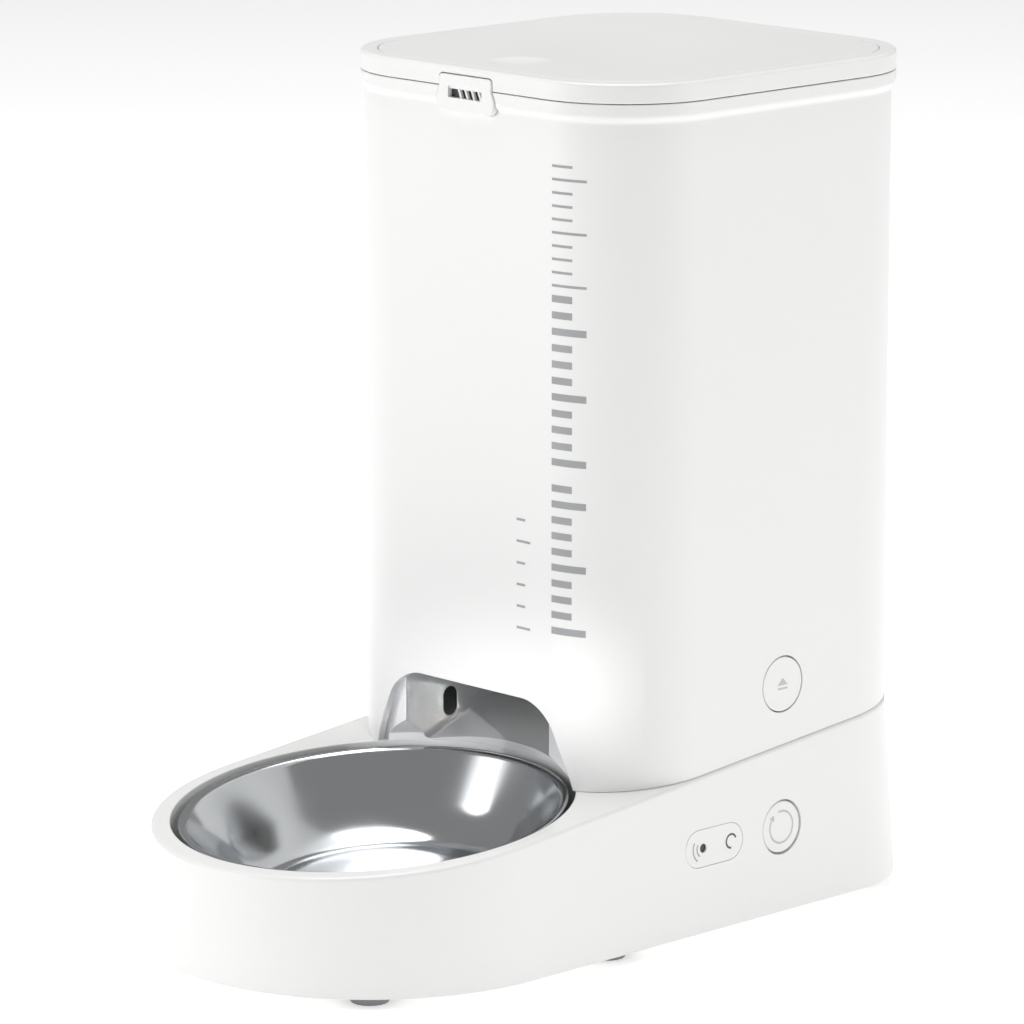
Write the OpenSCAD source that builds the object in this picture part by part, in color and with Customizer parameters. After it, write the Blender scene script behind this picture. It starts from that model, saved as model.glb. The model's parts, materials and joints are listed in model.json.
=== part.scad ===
// Automatic pet feeder: a tall food tower with a latched lid stands on a boat-shaped base, whose
// round front end holds a steel bowl. A geared motor in the base turns a vaned rotor in the foot of
// the tower, and the rotor drops portions down a chute into the bowl.
// Millimetres. +Z up, bowl end towards -Y. The origin is the centre of the footprint on the floor.

/* [Base] */
// Radius of the round bowl end at the foot of the base
nose_r = 82.25; // [81.5:0.05:83]
// Half of the overall length
half_len = 151.2; // [150.5:0.1:152]
// Half-width of the base at the foot of its rear end
rear_hw = 80.3; // [79.8:0.1:80.8]
// Radius of the rear corners at the foot of the base
rear_r = 46; // [42:1:48]
// Height of the gap under the base
base_z = 3.9; // [3.5:0.1:4.2]
// Height of the sloping deck over the origin
deck_z = 60.4; // [60:0.1:61]
// Slope of the deck, the bowl rim and the foot of the tower
deck_tilt = 5.63; // [5.4:0.01:5.8]
// Wall thickness of the base
base_wall = 2.6; // [2.2:0.1:3]

/* [Bowl] */
// Radius of the round recess that holds the bowl
well_r = 73.7; // [73.4:0.1:74]
// Outer radius of the bowl rim
rim_r = 71.2; // [70.8:0.1:71.4]
// Depth of the recess, square to the deck
well_depth = 32.5; // [32:0.1:33]

/* [Tower] */
// Distance of the tower centre behind the origin
tower_y = 60.7; // [60.5:0.1:61]
// Half-width of the tower, side to side
tower_hx = 78.9; // [78.5:0.1:79.2]
// Half-depth of the tower, front to rear
tower_hy = 80.8; // [80.4:0.1:81.2]
// Radius of the tower corners
tower_r = 38.9; // [37:0.1:40]
// Wall thickness of the tower
tower_wall = 3; // [2.6:0.1:3.2]
// Height of the underside of the tower collar
collar_z = 304.5; // [303.5:0.1:305]
// Step of the collar and the lid beyond the tower wall
collar_step = 1.8; // [1.6:0.1:1.9]

/* [Lid] */
// Height of the underside of the lid
lid_z = 310.1; // [310:0.1:310.3]
// Overall height
body_h = 317.2; // [317:0.1:317.6]
// Width of the latch
latch_w = 27; // [26:0.5:28]

/* [Feed drive] */
// Inner radius of the rotor chamber
chamber_r = 60; // [59.5:0.5:60.5]
// Number of rotor vanes
vanes = 6; // [6:1:6]
// Gear module
gear_mod = 1; // [1:1:1]
// Teeth on the large gears
big_teeth = 48; // [48:1:48]
// Teeth on the small gears
small_teeth = 12; // [12:1:12]

/* [Hidden] */
$fn = 48;
form_fn = 64;
spring_fn = 8;
gap = 0.3;
slim_gap = 0.05;
far = 400;

// Base form: sections at base_z and form_top, joined by straight lines
form_top = 80;
nose_top_r = nose_r - 3.15;
rear_top_hw = rear_hw - 0.8;
rear_top_y = half_len - 9.9;
rear_top_r = rear_r - 6.5;
nose_y = nose_r - half_len;
deck_t = 2.6;
plate_t = 2.3;
plate_top = base_z + plate_t;
foot_places = [[50.5, -117.3], [68, -17], [60, 122]];
plate_screw_places = [[30, -128], [58, 20], [48, 132]];
base_side_x = 80.2;
inlet_x = -36;
inlet_y = 131;
inlet_z = 17;
inlet_r = 1.6;
inlet_flat = 5.8;
inlet_back = 3;
panel_side_x = 80.35;

// Bowl
bowl_axis_y = nose_y / cos(deck_tilt);
rim_in_r = 69;
bowl_wall = 0.9;
bowl_sink = 1.1;
bowl_slope = 0.7;
bowl_pull = 47;

// Tower
collar_top = lid_z - gap;
lid_hx = tower_hx + collar_step;
lid_hy = tower_hy + collar_step;
lid_r = tower_r + collar_step;
front_y = tower_y - tower_hy;
collar_front_y = tower_y - lid_hy;
collar_rear_y = tower_y + lid_hy;
arch_top = 89.3;
arch_r = 18;
arch_flat = 27;
arch_foot = 53;

// Food bin, dispenser and rotor
bin_t = 2;
bin_hx = tower_hx - tower_wall - 0.6;
bin_hy = tower_hy - tower_wall - 0.6;
bin_r = tower_r - tower_wall - 0.6;
bin_top = 303;
funnel_top = 215;
chamber_top = 131;
floor_z = 96;
floor_t = 3;
floor_top = floor_z + floor_t;
outlet_half = 27;
outlet_r1 = 22;
outlet_r2 = 57;
frame_z = 103;
frame_t = 2.5;
vane_r = 56.3;
vane_z = 100;
vane_top = 124;
hub_r = 12;
shaft_r = 5;

// Gear train in the base: output gear on the rotor axis, idler behind it, motor beside the idler
gear_gap = (big_teeth + small_teeth) * gear_mod / 2;
idler_y = tower_y + gear_gap;
motor_x = -gear_gap;
box_z = 26;
box_t = 2.5;
low_gear_z = 30;
high_gear_z = 38;
gear_w = 6;
cover_z = 46;
cover_t = 2.4;
motor_r = 12;
motor_top = 64;
drive_shaft_r = 4;
output_hub_r = 5;
ear_places = [[26, 36], [26, 114], [-48, 112]];
ear_roots = [[0, tower_y], [0, idler_y], [motor_x, idler_y]];
ear_r = 4.6;
ear_arm = 14;
ear_arm_hw = 3.4;

// Buttons on the +X side, and the mirrored release button
release_y = 62.9;
release_z = 89.6;
release_r = 10.3;
feed_y = 61.6;
feed_z = 36;
feed_r = 10;
button_gap = 0.35;
panel_y = 25.6;
panel_z = 35.8;
panel_len = 30;
panel_r = 7;
dot_y = 19.8;
board_x = 64.4;
board_t = 1.6;

// Chute: the ramp falls from chute_back down to the bowl rim
chute_hw = 38;
chute_t = 2;
flange_t = 1.6;
chute_front = front_y + tower_wall + gap;
chute_back = 49;
chute_lip_y = 2.8;
chute_lip_z = 64;
chute_rise = 0.39;
chute_top = 91.5;
lip_r = 72.3;

// Lid hinge, behind the collar
hinge_y = 147;
hinge_z = 306.6;
hinge_pin_r = 1.5;
knuckle_r = 3.4;
knuckle_hw = 20;
ear_out = 26;

// Latch
latch_z1 = 301.2;
latch_z2 = 314.3;
latch_low_hw = latch_w / 2 + 1.5;
latch_y = collar_front_y - 0.6;
latch_t = 2.4;
latch_pin_y = -19.9;
latch_pin_z = 312.4;
latch_pin_r = 0.75;
latch_slot_hw = 8.75;
latch_slot_z1 = 306;
latch_slot_z2 = 310.3;

// Batteries
cell_r = 7.1;
cell_len = 49.5;
cell_pitch = 15.3;
cell_mid_y = 95;
cell_z = 14.6;
tray_hx = 30.5;
tray_hy = 32.5;
tray_top = 24;
tray_t = 1.5;
door_hx = 28;
door_hy = 29;

// Lid and the drying box under it
lid_wall = 3;
plug_hx = 71.2;
plug_hy = 73.1;
plug_r = 31;
plug_z = 305.5;
plug_wall = 2;
web_z = 313.2;
panel_z1 = 315.4;
panel_hx = 74;
panel_hy = 76;
panel_corner = 34;
panel_gap = 0.35;
dimple_y = 5;
dimple_r = 60;
dimple_depth = 1.1;
box_r = 34;
box_low = 289;

// ---- Shared shapes ----

// Rounded rectangle from its half sizes
module rounded_rect(hx, hy, r) {
    square([2 * hx, 2 * (hy - r)], center = true);
    square([2 * (hx - r), 2 * hy], center = true);
    for (sx = [-1, 1], sy = [-1, 1])
        translate([sx * (hx - r), sy * (hy - r)]) circle(r);
}

// Upright block on a rounded rectangle round the tower axis
module tower_block(hx, hy, r, z1, z2) {
    translate([0, tower_y, z1]) linear_extrude(z2 - z1) rounded_rect(hx, hy, r);
}

// Child placed in the frame of the deck plane
module on_deck() {
    translate([0, 0, deck_z]) rotate([deck_tilt, 0, 0]) children();
}

module below_deck(d) {
    on_deck() translate([-far / 2, -far / 2, -far - d]) cube([far, far, far]);
}

module at_bowl() {
    on_deck() translate([0, bowl_axis_y, 0]) children();
}

module form_section(z, nose, hw, rear_y, r) {
    translate([0, nose_y, z]) cylinder(h = 0.01, r = nose, $fn = form_fn);
    for (side = [-1, 1])
        translate([side * (hw - r), rear_y - r, z]) cylinder(h = 0.01, r = r, $fn = form_fn);
}

// Outer form of the base, taken in by inset, with its foot lowered by drop
module base_form(inset, drop = 0) {
    hull() {
        form_section(base_z - drop, nose_r - inset, rear_hw - inset, half_len - inset,
            rear_r - inset);
        form_section(form_top, nose_top_r - inset, rear_top_hw - inset, rear_top_y - inset,
            rear_top_r - inset);
    }
}

// Round bar along X, from x1 to x2
module bar_x(r, x1, x2) {
    translate([x1, 0, 0]) rotate([0, 90, 0]) cylinder(h = x2 - x1, r = r);
}

// Sector of a ring, centred on the -Y direction
module ring_sector(r1, r2, half, h) {
    intersection() {
        difference() {
            cylinder(h = h, r = r2);
            translate([0, 0, -1]) cylinder(h = h + 2, r = r1);
        }
        linear_extrude(h) polygon([[0, 0], [-far * sin(half), -far * cos(half)],
            [far * sin(half), -far * cos(half)]]);
    }
}

// Involute gear: tip at 0.75 of the module for large gears, 1 for small ones
function involute_angle(rb, r) = r <= rb ? 0 : let (a = acos(rb / r)) tan(a) * 180 / PI - a;

function gear_points(teeth, m, addendum, backlash) =
    let (rp = m * teeth / 2, rb = rp * cos(20), ro = rp + addendum, ri = rp - 1.25 * m,
        half = 90 / teeth - backlash / 2 / rp * 180 / PI + involute_angle(rb, rp),
        flank = [for (i = [0:4]) max(rb, ri + 0.01) + i / 4 * (ro - max(rb, ri + 0.01))])
    [for (t = [0:teeth - 1]) let (a0 = t * 360 / teeth)
        each concat(
            [[ri * cos(a0 - half), ri * sin(a0 - half)]],
            [for (r = flank) let (a = a0 - half + involute_angle(rb, r)) [r * cos(a), r * sin(a)]],
            [for (i = [4:-1:0]) let (r = flank[i], a = a0 + half - involute_angle(rb, r))
                [r * cos(a), r * sin(a)]],
            [[ri * cos(a0 + half), ri * sin(a0 + half)]])];

module gear(teeth, width, addendum, turn) {
    rotate([0, 0, turn]) linear_extrude(width)
        polygon(gear_points(teeth, gear_mod, addendum * gear_mod, 0.2));
}

// Coil spring along Z from 0 to h, as a swept tube with flat ends
function coil_ring(a, r, z, wire) =
    [for (k = [0:spring_fn - 1]) let (b = k * 360 / spring_fn)
        [(r + wire * cos(b)) * cos(a), (r + wire * cos(b)) * sin(a), z + wire * sin(b)]];

module coil_spring(r, h, turns, wire) {
    steps = turns * 14;
    points = [for (i = [0:steps]) each coil_ring(i * 360 * turns / steps, r,
        wire + (h - 2 * wire) * i / steps, wire)];
    sides = [for (i = [0:steps - 1], k = [0:spring_fn - 1])
        let (a = i * spring_fn + k, b = i * spring_fn + (k + 1) % spring_fn)
        [a, a + spring_fn, b + spring_fn, b]];
    first = [for (k = [0:spring_fn - 1]) k];
    last = [for (k = [spring_fn - 1:-1:0]) steps * spring_fn + k];
    polyhedron(points, concat(sides, [first], [last]), convexity = 8);
}

// ---- Base ----

module base_shell() {
    color("white") difference() {
        union() {
            difference() {
                intersection() {
                    base_form(0);
                    below_deck(0);
                }
                intersection() {
                    base_form(base_wall, 1);
                    below_deck(deck_t);
                }
            }
            at_bowl() translate([0, 0, -well_depth - 2]) cylinder(h = well_depth + 1, r = well_r + 2);
            base_bosses();
            for (side = [-1, 1]) release_keeper(side);
        }
        at_bowl() translate([0, 0, -well_depth]) cylinder(h = well_depth + far, r = well_r);
        translate([0, tower_y, 0]) cylinder(h = form_top, r = drive_shaft_r + 2);
        translate([0, feed_y, feed_z]) bar_x(feed_r + button_gap, board_x, far);
        status_capsule(panel_r + button_gap, board_x + 8);
        for (p = plate_screw_places, side = [-1, 1])
            translate([side * p[0], p[1], base_z]) cylinder(h = 11, r = 1.3, $fn = 24);
        for (p = ear_places)
            translate([p[0], p[1], cover_z]) cylinder(h = 12.2, r = 1.3, $fn = 24);
        inlet_opening(0.2);
    }
}

// Posts for the bottom plate screws and hanging posts for the gearbox screws
module base_bosses() {
    for (p = plate_screw_places, side = [-1, 1])
        intersection() {
            translate([side * p[0], p[1], plate_top]) cylinder(h = far, r = 3.6);
            base_form(0.5);
            below_deck(0.5);
            if (p[1] < 0)
                translate([-far / 2, -far / 2, 0]) cube([far, far, 17]);
        }
    for (p = ear_places)
        intersection() {
            translate([p[0], p[1], cover_z + cover_t]) cylinder(h = far, r = 3.4);
            below_deck(0.5);
        }
}

// Upright lip inside the tower wall, beside the catch of a release button
module release_keeper(side) {
    translate([side * 74.75 - 0.75, release_y - 7, 62]) cube([1.5, 14, 13.5]);
}

// Capsule along Y through the +X wall, from x on
module status_capsule(r, x) {
    for (end = [-1, 1])
        translate([0, panel_y + end * (panel_len / 2 - panel_r), panel_z]) bar_x(r, x, far);
    translate([x, panel_y - panel_len / 2 + panel_r, panel_z - r])
        cube([far - x, panel_len - 2 * panel_r, 2 * r]);
}

// Flat-oval opening for the power plug, through the rear wall
module inlet_opening(extra) {
    for (end = [-1, 1])
        translate([inlet_x + end * inlet_flat / 2, inlet_y + inlet_back, inlet_z]) rotate([-90, 0, 0])
            cylinder(h = 60, r = inlet_r + extra, $fn = 32);
    translate([inlet_x - inlet_flat / 2, inlet_y + inlet_back, inlet_z - inlet_r - extra])
        cube([inlet_flat, 60, 2 * (inlet_r + extra)]);
}

module base_bottom_plate() {
    color("whitesmoke") difference() {
        intersection() {
            base_form(base_wall + 0.15, 0.5);
            translate([-far / 2, -far / 2, base_z]) cube([far, far, plate_t]);
        }
        translate([-door_hx, cell_mid_y - door_hy, 0]) cube([2 * door_hx, 2 * door_hy, 20]);
        translate([0, cell_mid_y - door_hy - 5, 0]) cylinder(h = 20, r = 1.3, $fn = 24);
        for (p = plate_screw_places, side = [-1, 1])
            translate([side * p[0], p[1], 0]) {
                cylinder(h = 20, r = 1.7);
                cylinder(h = base_z + 1.2, r = 3);
            }
        for (p = foot_places, side = [-1, 1])
            translate([side * p[0], p[1], 0]) cylinder(h = base_z + 1, r = 9.8);
    }
}

module rubber_feet() {
    color("gray") for (p = foot_places, side = [-1, 1])
        translate([side * p[0], p[1], 0]) {
            cylinder(h = base_z - 0.6, r1 = 6.75, r2 = 9);
            translate([0, 0, base_z - 0.6]) cylinder(h = 1.6, r = 9.6);
        }
}

// Pan-head screw from below: head at the foot, shank upwards
module screw(head_r, head_h, shank_r, shank_h) {
    difference() {
        cylinder(h = head_h, r = head_r);
        for (turn = [0, 90])
            rotate([0, 0, turn]) translate([-head_r * 0.6, -0.3, -0.01])
                cube([head_r * 1.2, 0.6, head_h * 0.6]);
    }
    translate([0, 0, head_h]) cylinder(h = shank_h, r = shank_r);
}

module base_screws() {
    color("silver") for (p = plate_screw_places, side = [-1, 1])
        translate([side * p[0], p[1], base_z]) screw(2.8, 1.2, 1.25, 8.5);
}

module battery_door() {
    color("whitesmoke") difference() {
        union() {
            translate([-door_hx + gap, cell_mid_y - door_hy + gap, base_z])
                cube([2 * (door_hx - gap), 2 * (door_hy - gap), plate_t]);
            translate([-7, cell_mid_y - door_hy - 9, base_z - 1.3]) cube([14, 14, 1.3]);
        }
        translate([0, cell_mid_y - door_hy - 5, 0]) cylinder(h = 20, r = 1.7, $fn = 24);
        for (i = [0:4])
            translate([-8, cell_mid_y + 12 + 2.6 * i, base_z - 1]) cube([16, 1.2, 1.6]);
    }
}

module battery_door_screw() {
    color("silver") translate([0, cell_mid_y - door_hy - 5, base_z - 2.5]) screw(2.8, 1.2, 1.2, 5);
}

// Upside-down tray over the cells
module battery_tray() {
    color("dimgray") translate([0, cell_mid_y, 0]) difference() {
        translate([-tray_hx, -tray_hy, plate_top]) cube([2 * tray_hx, 2 * tray_hy, tray_top - plate_top]);
        translate([-tray_hx + tray_t, -tray_hy + tray_t, plate_top - 1])
            cube([2 * (tray_hx - tray_t), 2 * (tray_hy - tray_t), tray_top - tray_t - plate_top + 1]);
    }
}

module backup_cells() {
    color("goldenrod") for (i = [0:3])
        translate([0, cell_mid_y + (i - 1.5) * cell_pitch, cell_z]) {
            bar_x(cell_r, -cell_len / 2, cell_len / 2 - 1);
            rotate([0, 0, i % 2 * 180]) bar_x(2.6, cell_len / 2 - 1.5, cell_len / 2);
        }
}

module battery_contacts() {
    color("silver") for (side = [-1, 1]) {
        for (pair = [-1, 1])
            translate([side * (tray_hx - tray_t - 0.6) - 0.25, cell_mid_y + pair * cell_pitch - 13, 9])
                cube([0.5, 26, 11]);
        for (i = [0:3])
            translate([side * 26.65, cell_mid_y + (i - 1.5) * cell_pitch, cell_z])
                bar_x(2.2, -1.6, 1.6);
    }
}

module power_inlet() {
    color("dimgray") difference() {
        translate([inlet_x - 6.5, inlet_y, inlet_z - 4.5]) cube([13, 14, 9]);
        inlet_opening(0);
    }
    color("silver") translate([inlet_x - 2.5, inlet_y + inlet_back - 1, inlet_z - 0.4])
        cube([5, 9, 0.8]);
}

module circuit_board() {
    color("darkgreen") {
        translate([board_x, 4, 12]) cube([board_t, 90, 42]);
        for (c = [[70, 18, 14, 10, 2.4], [70, 40, 10, 10, 1.6], [12, 44, 16, 7, 2], [44, 16, 8, 8, 1.2]])
            translate([board_x - c[4], c[0], c[1]]) cube([c[4], c[2], c[3]]);
        for (y = [86, 45])
            translate([0, y, 22]) bar_x(3.2, board_x - 11, board_x);
    }
}

module feed_switch() {
    color("dimgray") translate([0, feed_y, feed_z]) {
        translate([board_x + board_t, -3, -3]) cube([4, 6, 6]);
        bar_x(1.7, board_x + board_t + 4, board_x + board_t + 5.2);
    }
}

module status_panel() {
    color("white") difference() {
        intersection() {
            status_capsule(panel_r, 77);
            base_form(0.1);
        }
        translate([0, dot_y, panel_z]) bar_x(1.75, 70, far);
        translate([-far, -far / 2, -far / 2]) cube([far + 77, far, far]);
    }
}

module status_window() {
    color("black") translate([0, dot_y, panel_z]) bar_x(1.65, board_x + board_t, panel_side_x - 0.2);
}

// ---- Chute ----

// Block along X whose side view is a polygon of [y, z]
module side_extrude(hw, points) {
    translate([-hw, 0, 0]) rotate([90, 0, 90]) linear_extrude(2 * hw) polygon(points);
}

function ramp_z(y) = chute_lip_z + (y - chute_lip_y) * chute_rise;

// Space that the bowl rim sweeps as the bowl is pulled out forwards and up
module bowl_sweep() {
    hull() for (s = [0, 60])
        translate([0, -s * cos(bowl_pull), s * sin(bowl_pull)])
            at_bowl() translate([0, 0, -1]) cylinder(h = 2, r = lip_r, $fn = form_fn);
}

module chute_liner() {
    color("silver") difference() {
        union() {
            side_extrude(chute_hw + chute_t, [[chute_front, ramp_z(chute_front) - chute_t],
                [chute_back, ramp_z(chute_back) - chute_t], [chute_back, ramp_z(chute_back)],
                [chute_front, ramp_z(chute_front)]]);
            for (side = [-1, 1])
                translate([side * (chute_hw + chute_t / 2), 0, 0])
                    side_extrude(chute_t / 2, [[chute_front, deck_z - 4], [chute_back, deck_z + 2],
                        [chute_back, chute_top], [chute_front, arch_top]]);
            chute_flange();
        }
        below_deck(0);
        bowl_sweep();
        for (side = [-1, 1]) sensor_slot(side, 0.1);
    }
}

// Block that fills the inside of the tower walls, taken in by inset
module tower_inside(inset, z1, z2) {
    tower_block(tower_hx - tower_wall - inset, tower_hy - tower_wall - inset,
        tower_r - tower_wall - inset, z1, z2);
}

// Plate that follows the tower wall behind the arch, open inside the channel
module chute_flange() {
    difference() {
        intersection() {
            rotate([90, 0, 0]) linear_extrude(-front_y) hull() {
                for (side = [-1, 1])
                    translate([side * arch_flat, arch_top - arch_r + 0.8])
                        circle(arch_r, $fn = form_fn);
                translate([-arch_foot - 1, 52]) square([2 * arch_foot + 2, 4]);
            }
            tower_inside(gap, 50, chute_top);
        }
        tower_inside(gap + flange_t, 40, far);
        translate([-chute_hw, front_y, 50]) cube([2 * chute_hw, 8, 60]);
    }
}

// Upright rounded slot in a chute wall
module sensor_slot(side, extra) {
    for (z = [70.4, 74.6])
        translate([side * (chute_hw + 0.6), 5.8, z])
            rotate([0, 90, 0]) cylinder(h = 1.2, r = 3.4 + extra, center = true, $fn = 32);
    translate([side * (chute_hw + 0.6), 5.8, 72.5]) cube([1.2, 6.8 + 2 * extra, 4.2], center = true);
}

module chute_sensors() {
    color("black") intersection() {
        for (side = [-1, 1]) sensor_slot(side, 0);
        translate([-chute_hw - 1.1, -20, 60]) cube([2 * chute_hw + 2.2, 60, 40]);
    }
}

// ---- Gearbox ----

module gearbox_outline(extra) {
    hull() {
        translate([0, tower_y]) circle(29 + extra, $fn = 64);
        translate([0, idler_y]) circle(29 + extra, $fn = 64);
        translate([motor_x, idler_y]) circle(19 + extra, $fn = 64);
    }
}

// Screw ears, each on an arm that points to a gear or to the motor
module ear_outline() {
    for (i = [0:2]) {
        reach = ear_roots[i] - ear_places[i];
        translate(ear_places[i]) {
            circle(ear_r);
            rotate(atan2(reach[1], reach[0]))
                translate([0, -ear_arm_hw]) square([ear_arm, 2 * ear_arm_hw]);
        }
    }
}

module gearbox_base() {
    color("ivory") difference() {
        union() {
            translate([0, 0, box_z]) linear_extrude(box_t) {
                gearbox_outline(0);
                ear_outline();
            }
            difference() {
                translate([0, 0, box_z]) linear_extrude(cover_z - box_z) {
                    gearbox_outline(0);
                    ear_outline();
                }
                translate([0, 0, box_z + box_t]) linear_extrude(far) gearbox_outline(-1.6);
            }
        }
        translate([0, tower_y, 0]) cylinder(h = far, r = drive_shaft_r + slim_gap);
        translate([0, idler_y, 0]) cylinder(h = far, r = 1.5);
        for (p = ear_places) translate([p[0], p[1], 0]) cylinder(h = far, r = 1.6, $fn = 24);
    }
}

module gearbox_cover() {
    color("ivory") difference() {
        union() {
            translate([0, 0, cover_z]) linear_extrude(cover_t) {
                gearbox_outline(0);
                ear_outline();
            }
            translate([motor_x, idler_y, cover_z]) cylinder(h = 12, r = motor_r + 2);
            translate([0, tower_y, cover_z]) cylinder(h = 7, r = drive_shaft_r + 3);
        }
        translate([0, tower_y, 0]) cylinder(h = far, r = drive_shaft_r + slim_gap);
        translate([0, idler_y, 0]) cylinder(h = cover_z + 1.6, r = 1.5);
        translate([motor_x, idler_y, 0]) cylinder(h = far, r = motor_r);
        for (p = ear_places) translate([p[0], p[1], 0]) cylinder(h = far, r = 1.6, $fn = 24);
    }
}

module gearbox_screws() {
    color("silver") for (p = ear_places)
        translate([p[0], p[1], box_z - 1.6]) screw(2.7, 1.6, 1.25, 31);
}

// Motor can with an end boss; its shaft points down to the pinion
module drive_motor() {
    color("silver") translate([motor_x, idler_y, 0]) difference() {
        union() {
            translate([0, 0, high_gear_z]) cylinder(h = motor_top - high_gear_z, r = motor_r);
            translate([0, 0, high_gear_z - 1.4]) cylinder(h = 1.5, r = 3);
        }
        translate([0, 0, 30]) cylinder(h = 20, r = 1 + slim_gap, $fn = 24);
    }
}

module idler_axle() {
    color("silver") translate([0, idler_y, box_z]) cylinder(h = cover_z + 1.6 - box_z, r = 1.5);
}

module motor_shaft() {
    color("silver") translate([motor_x, idler_y, low_gear_z - 0.6]) cylinder(h = 20, r = 1, $fn = 24);
}

module motor_pinion() {
    color("gold") translate([motor_x, idler_y, low_gear_z]) difference() {
        gear(small_teeth, gear_w - 0.2, 1, 15);
        translate([0, 0, -1]) cylinder(h = gear_w + 2, r = 1, $fn = 24);
    }
}

module idler_gear() {
    color("white") translate([0, idler_y, 0]) difference() {
        union() {
            translate([0, 0, low_gear_z]) gear(big_teeth, gear_w, 0.75, 0);
            translate([0, 0, low_gear_z + gear_w - 0.1]) cylinder(h = 2.2, r = 4.4);
            translate([0, 0, high_gear_z]) gear(small_teeth, gear_w, 1, 15);
        }
        translate([0, 0, low_gear_z - 1]) cylinder(h = 20, r = 1.5 + slim_gap);
        translate([0, 0, low_gear_z - 1]) difference() {
            cylinder(h = 3, r = 20);
            translate([0, 0, -1]) cylinder(h = 5, r = 7);
        }
    }
}

module output_gear() {
    color("white") translate([0, tower_y, 0]) difference() {
        union() {
            translate([0, 0, high_gear_z]) gear(big_teeth, gear_w, 0.75, 0);
            translate([0, 0, box_z + box_t + gap])
                cylinder(h = high_gear_z - box_z - box_t, r = output_hub_r);
        }
        translate([0, 0, box_z]) cylinder(h = 30, r = drive_shaft_r);
        translate([0, 0, high_gear_z + gear_w - 2]) difference() {
            cylinder(h = 3, r = 20);
            translate([0, 0, -1]) cylinder(h = 5, r = 8);
        }
    }
}

// Drive shaft with the cross-shaped dog that turns the rotor
module output_shaft() {
    color("gold") translate([0, tower_y, 0]) {
        translate([0, 0, box_z]) cylinder(h = 43, r = drive_shaft_r);
        translate([0, 0, 68.6]) cylinder(h = 1.5, r = 7.4);
        translate([0, 0, 70]) for (turn = [0, 90])
            rotate([0, 0, turn]) translate([-6.4, -1.5, 0]) cube([12.8, 3, 7]);
    }
}

// ---- Feed button ----

module feed_button() {
    color("white") translate([0, feed_y, feed_z]) difference() {
        union() {
            bar_x(feed_r, 75.2, base_side_x - 0.1);
            bar_x(feed_r + 1.4, 75.2, 77);
            bar_x(2.6, 72.9, 75.3);
        }
        bar_x(8.2, 79.9, far);
    }
    color("white") translate([0, feed_y, feed_z]) bar_x(7.9, 76, base_side_x - 0.1);
}

module feed_spring() {
    color("silver") translate([board_x + board_t + 0.05, feed_y, feed_z]) rotate([0, 90, 0])
        coil_spring(5.4, 75.1 - board_x - board_t, 4, 0.35);
}

// ---- Bowl ----

function bowl_r(d) = d < 20 ? rim_in_r - bowl_slope * d
    : rim_in_r - bowl_slope * 20 - 12 * (1 - cos(asin(min(1, (d - 20) / 10))));

function bowl_curve(t) = [for (d = [for (i = [0:4]) 1 + i * 4.75, for (i = [1:6]) 20 + 10 * sin(i * 15)])
    [bowl_r(d) + t, -d - t]];

module bowl() {
    color("lightgray") at_bowl() translate([0, 0, -bowl_sink]) {
        rotate_extrude($fn = 128) polygon(concat([[0, -30]], [for (i = [10:-1:0]) bowl_curve(0)[i]],
            [[rim_in_r, -0.5], [rim_r - 0.3, -0.5], [rim_r, -0.8], [rim_r, -1.4], [rim_in_r + 0.6, -1.4]],
            [for (i = [0:10]) bowl_curve(bowl_wall)[i]], [[0, -30 - bowl_wall]]));
    }
}

// ---- Tower ----

module arch_cut() {
    rotate([90, 0, 0]) linear_extrude(40) hull() {
        for (side = [-1, 1])
            translate([side * arch_flat, arch_top - arch_r]) circle(arch_r, $fn = form_fn);
        translate([-arch_foot, 50]) square([2 * arch_foot, 8]);
    }
}

module hinge_ear(x1, x2) {
    translate([0, hinge_y, hinge_z]) bar_x(knuckle_r, x1, x2);
    translate([x1, collar_rear_y - 3, hinge_z - knuckle_r])
        cube([x2 - x1, hinge_y - collar_rear_y + 3, 2 * knuckle_r - 0.6]);
}

module tower_shell() {
    color("white") difference() {
        union() {
            tower_block(tower_hx, tower_hy, tower_r, 50, collar_top);
            tower_block(lid_hx, lid_hy, lid_r, collar_z, collar_top);
            hinge_ear(knuckle_hw + gap, ear_out);
            hinge_ear(-ear_out, -knuckle_hw - gap);
        }
        tower_inside(0, 40, far);
        below_deck(-gap);
        arch_cut();
        translate([0, release_y, release_z])
            bar_x(release_r + button_gap, -far / 2, far / 2);
        translate([0, hinge_y, hinge_z]) bar_x(hinge_pin_r, -ear_out - 1, ear_out + 1);
        translate([-latch_low_hw - 0.4, -far + front_y + 0.4, latch_z1 - 0.4])
            cube([2 * latch_low_hw + 0.8, far, 20]);
    }
}

module hopper_bin() {
    color("gainsboro") difference() {
        union() {
            tower_block(bin_hx, bin_hy, bin_r, funnel_top, bin_top);
            funnel(0);
            translate([0, tower_y, floor_top]) cylinder(h = chamber_top - floor_top, r = chamber_r + bin_t);
        }
        tower_block(bin_hx - bin_t, bin_hy - bin_t, bin_r - bin_t, funnel_top - 0.01, far);
        funnel(bin_t);
        translate([0, tower_y, 0]) cylinder(h = chamber_top + 0.01, r = chamber_r);
    }
}

module funnel(inset) {
    hull() {
        tower_block(bin_hx - inset, bin_hy - inset, bin_r - inset, funnel_top - 0.01, funnel_top,
            $fn = 64);
        translate([0, tower_y, chamber_top]) cylinder(h = 0.01, r = chamber_r + bin_t - inset, $fn = 64);
    }
}

// Flange between the tower wall and the rotor chamber
module support_frame() {
    color("gainsboro") difference() {
        tower_block(bin_hx + 0.4, bin_hy + 0.4, bin_r + 0.4, frame_z, frame_z + frame_t);
        translate([0, tower_y, 0]) cylinder(h = far, r = chamber_r + bin_t + 0.1);
    }
}

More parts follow.
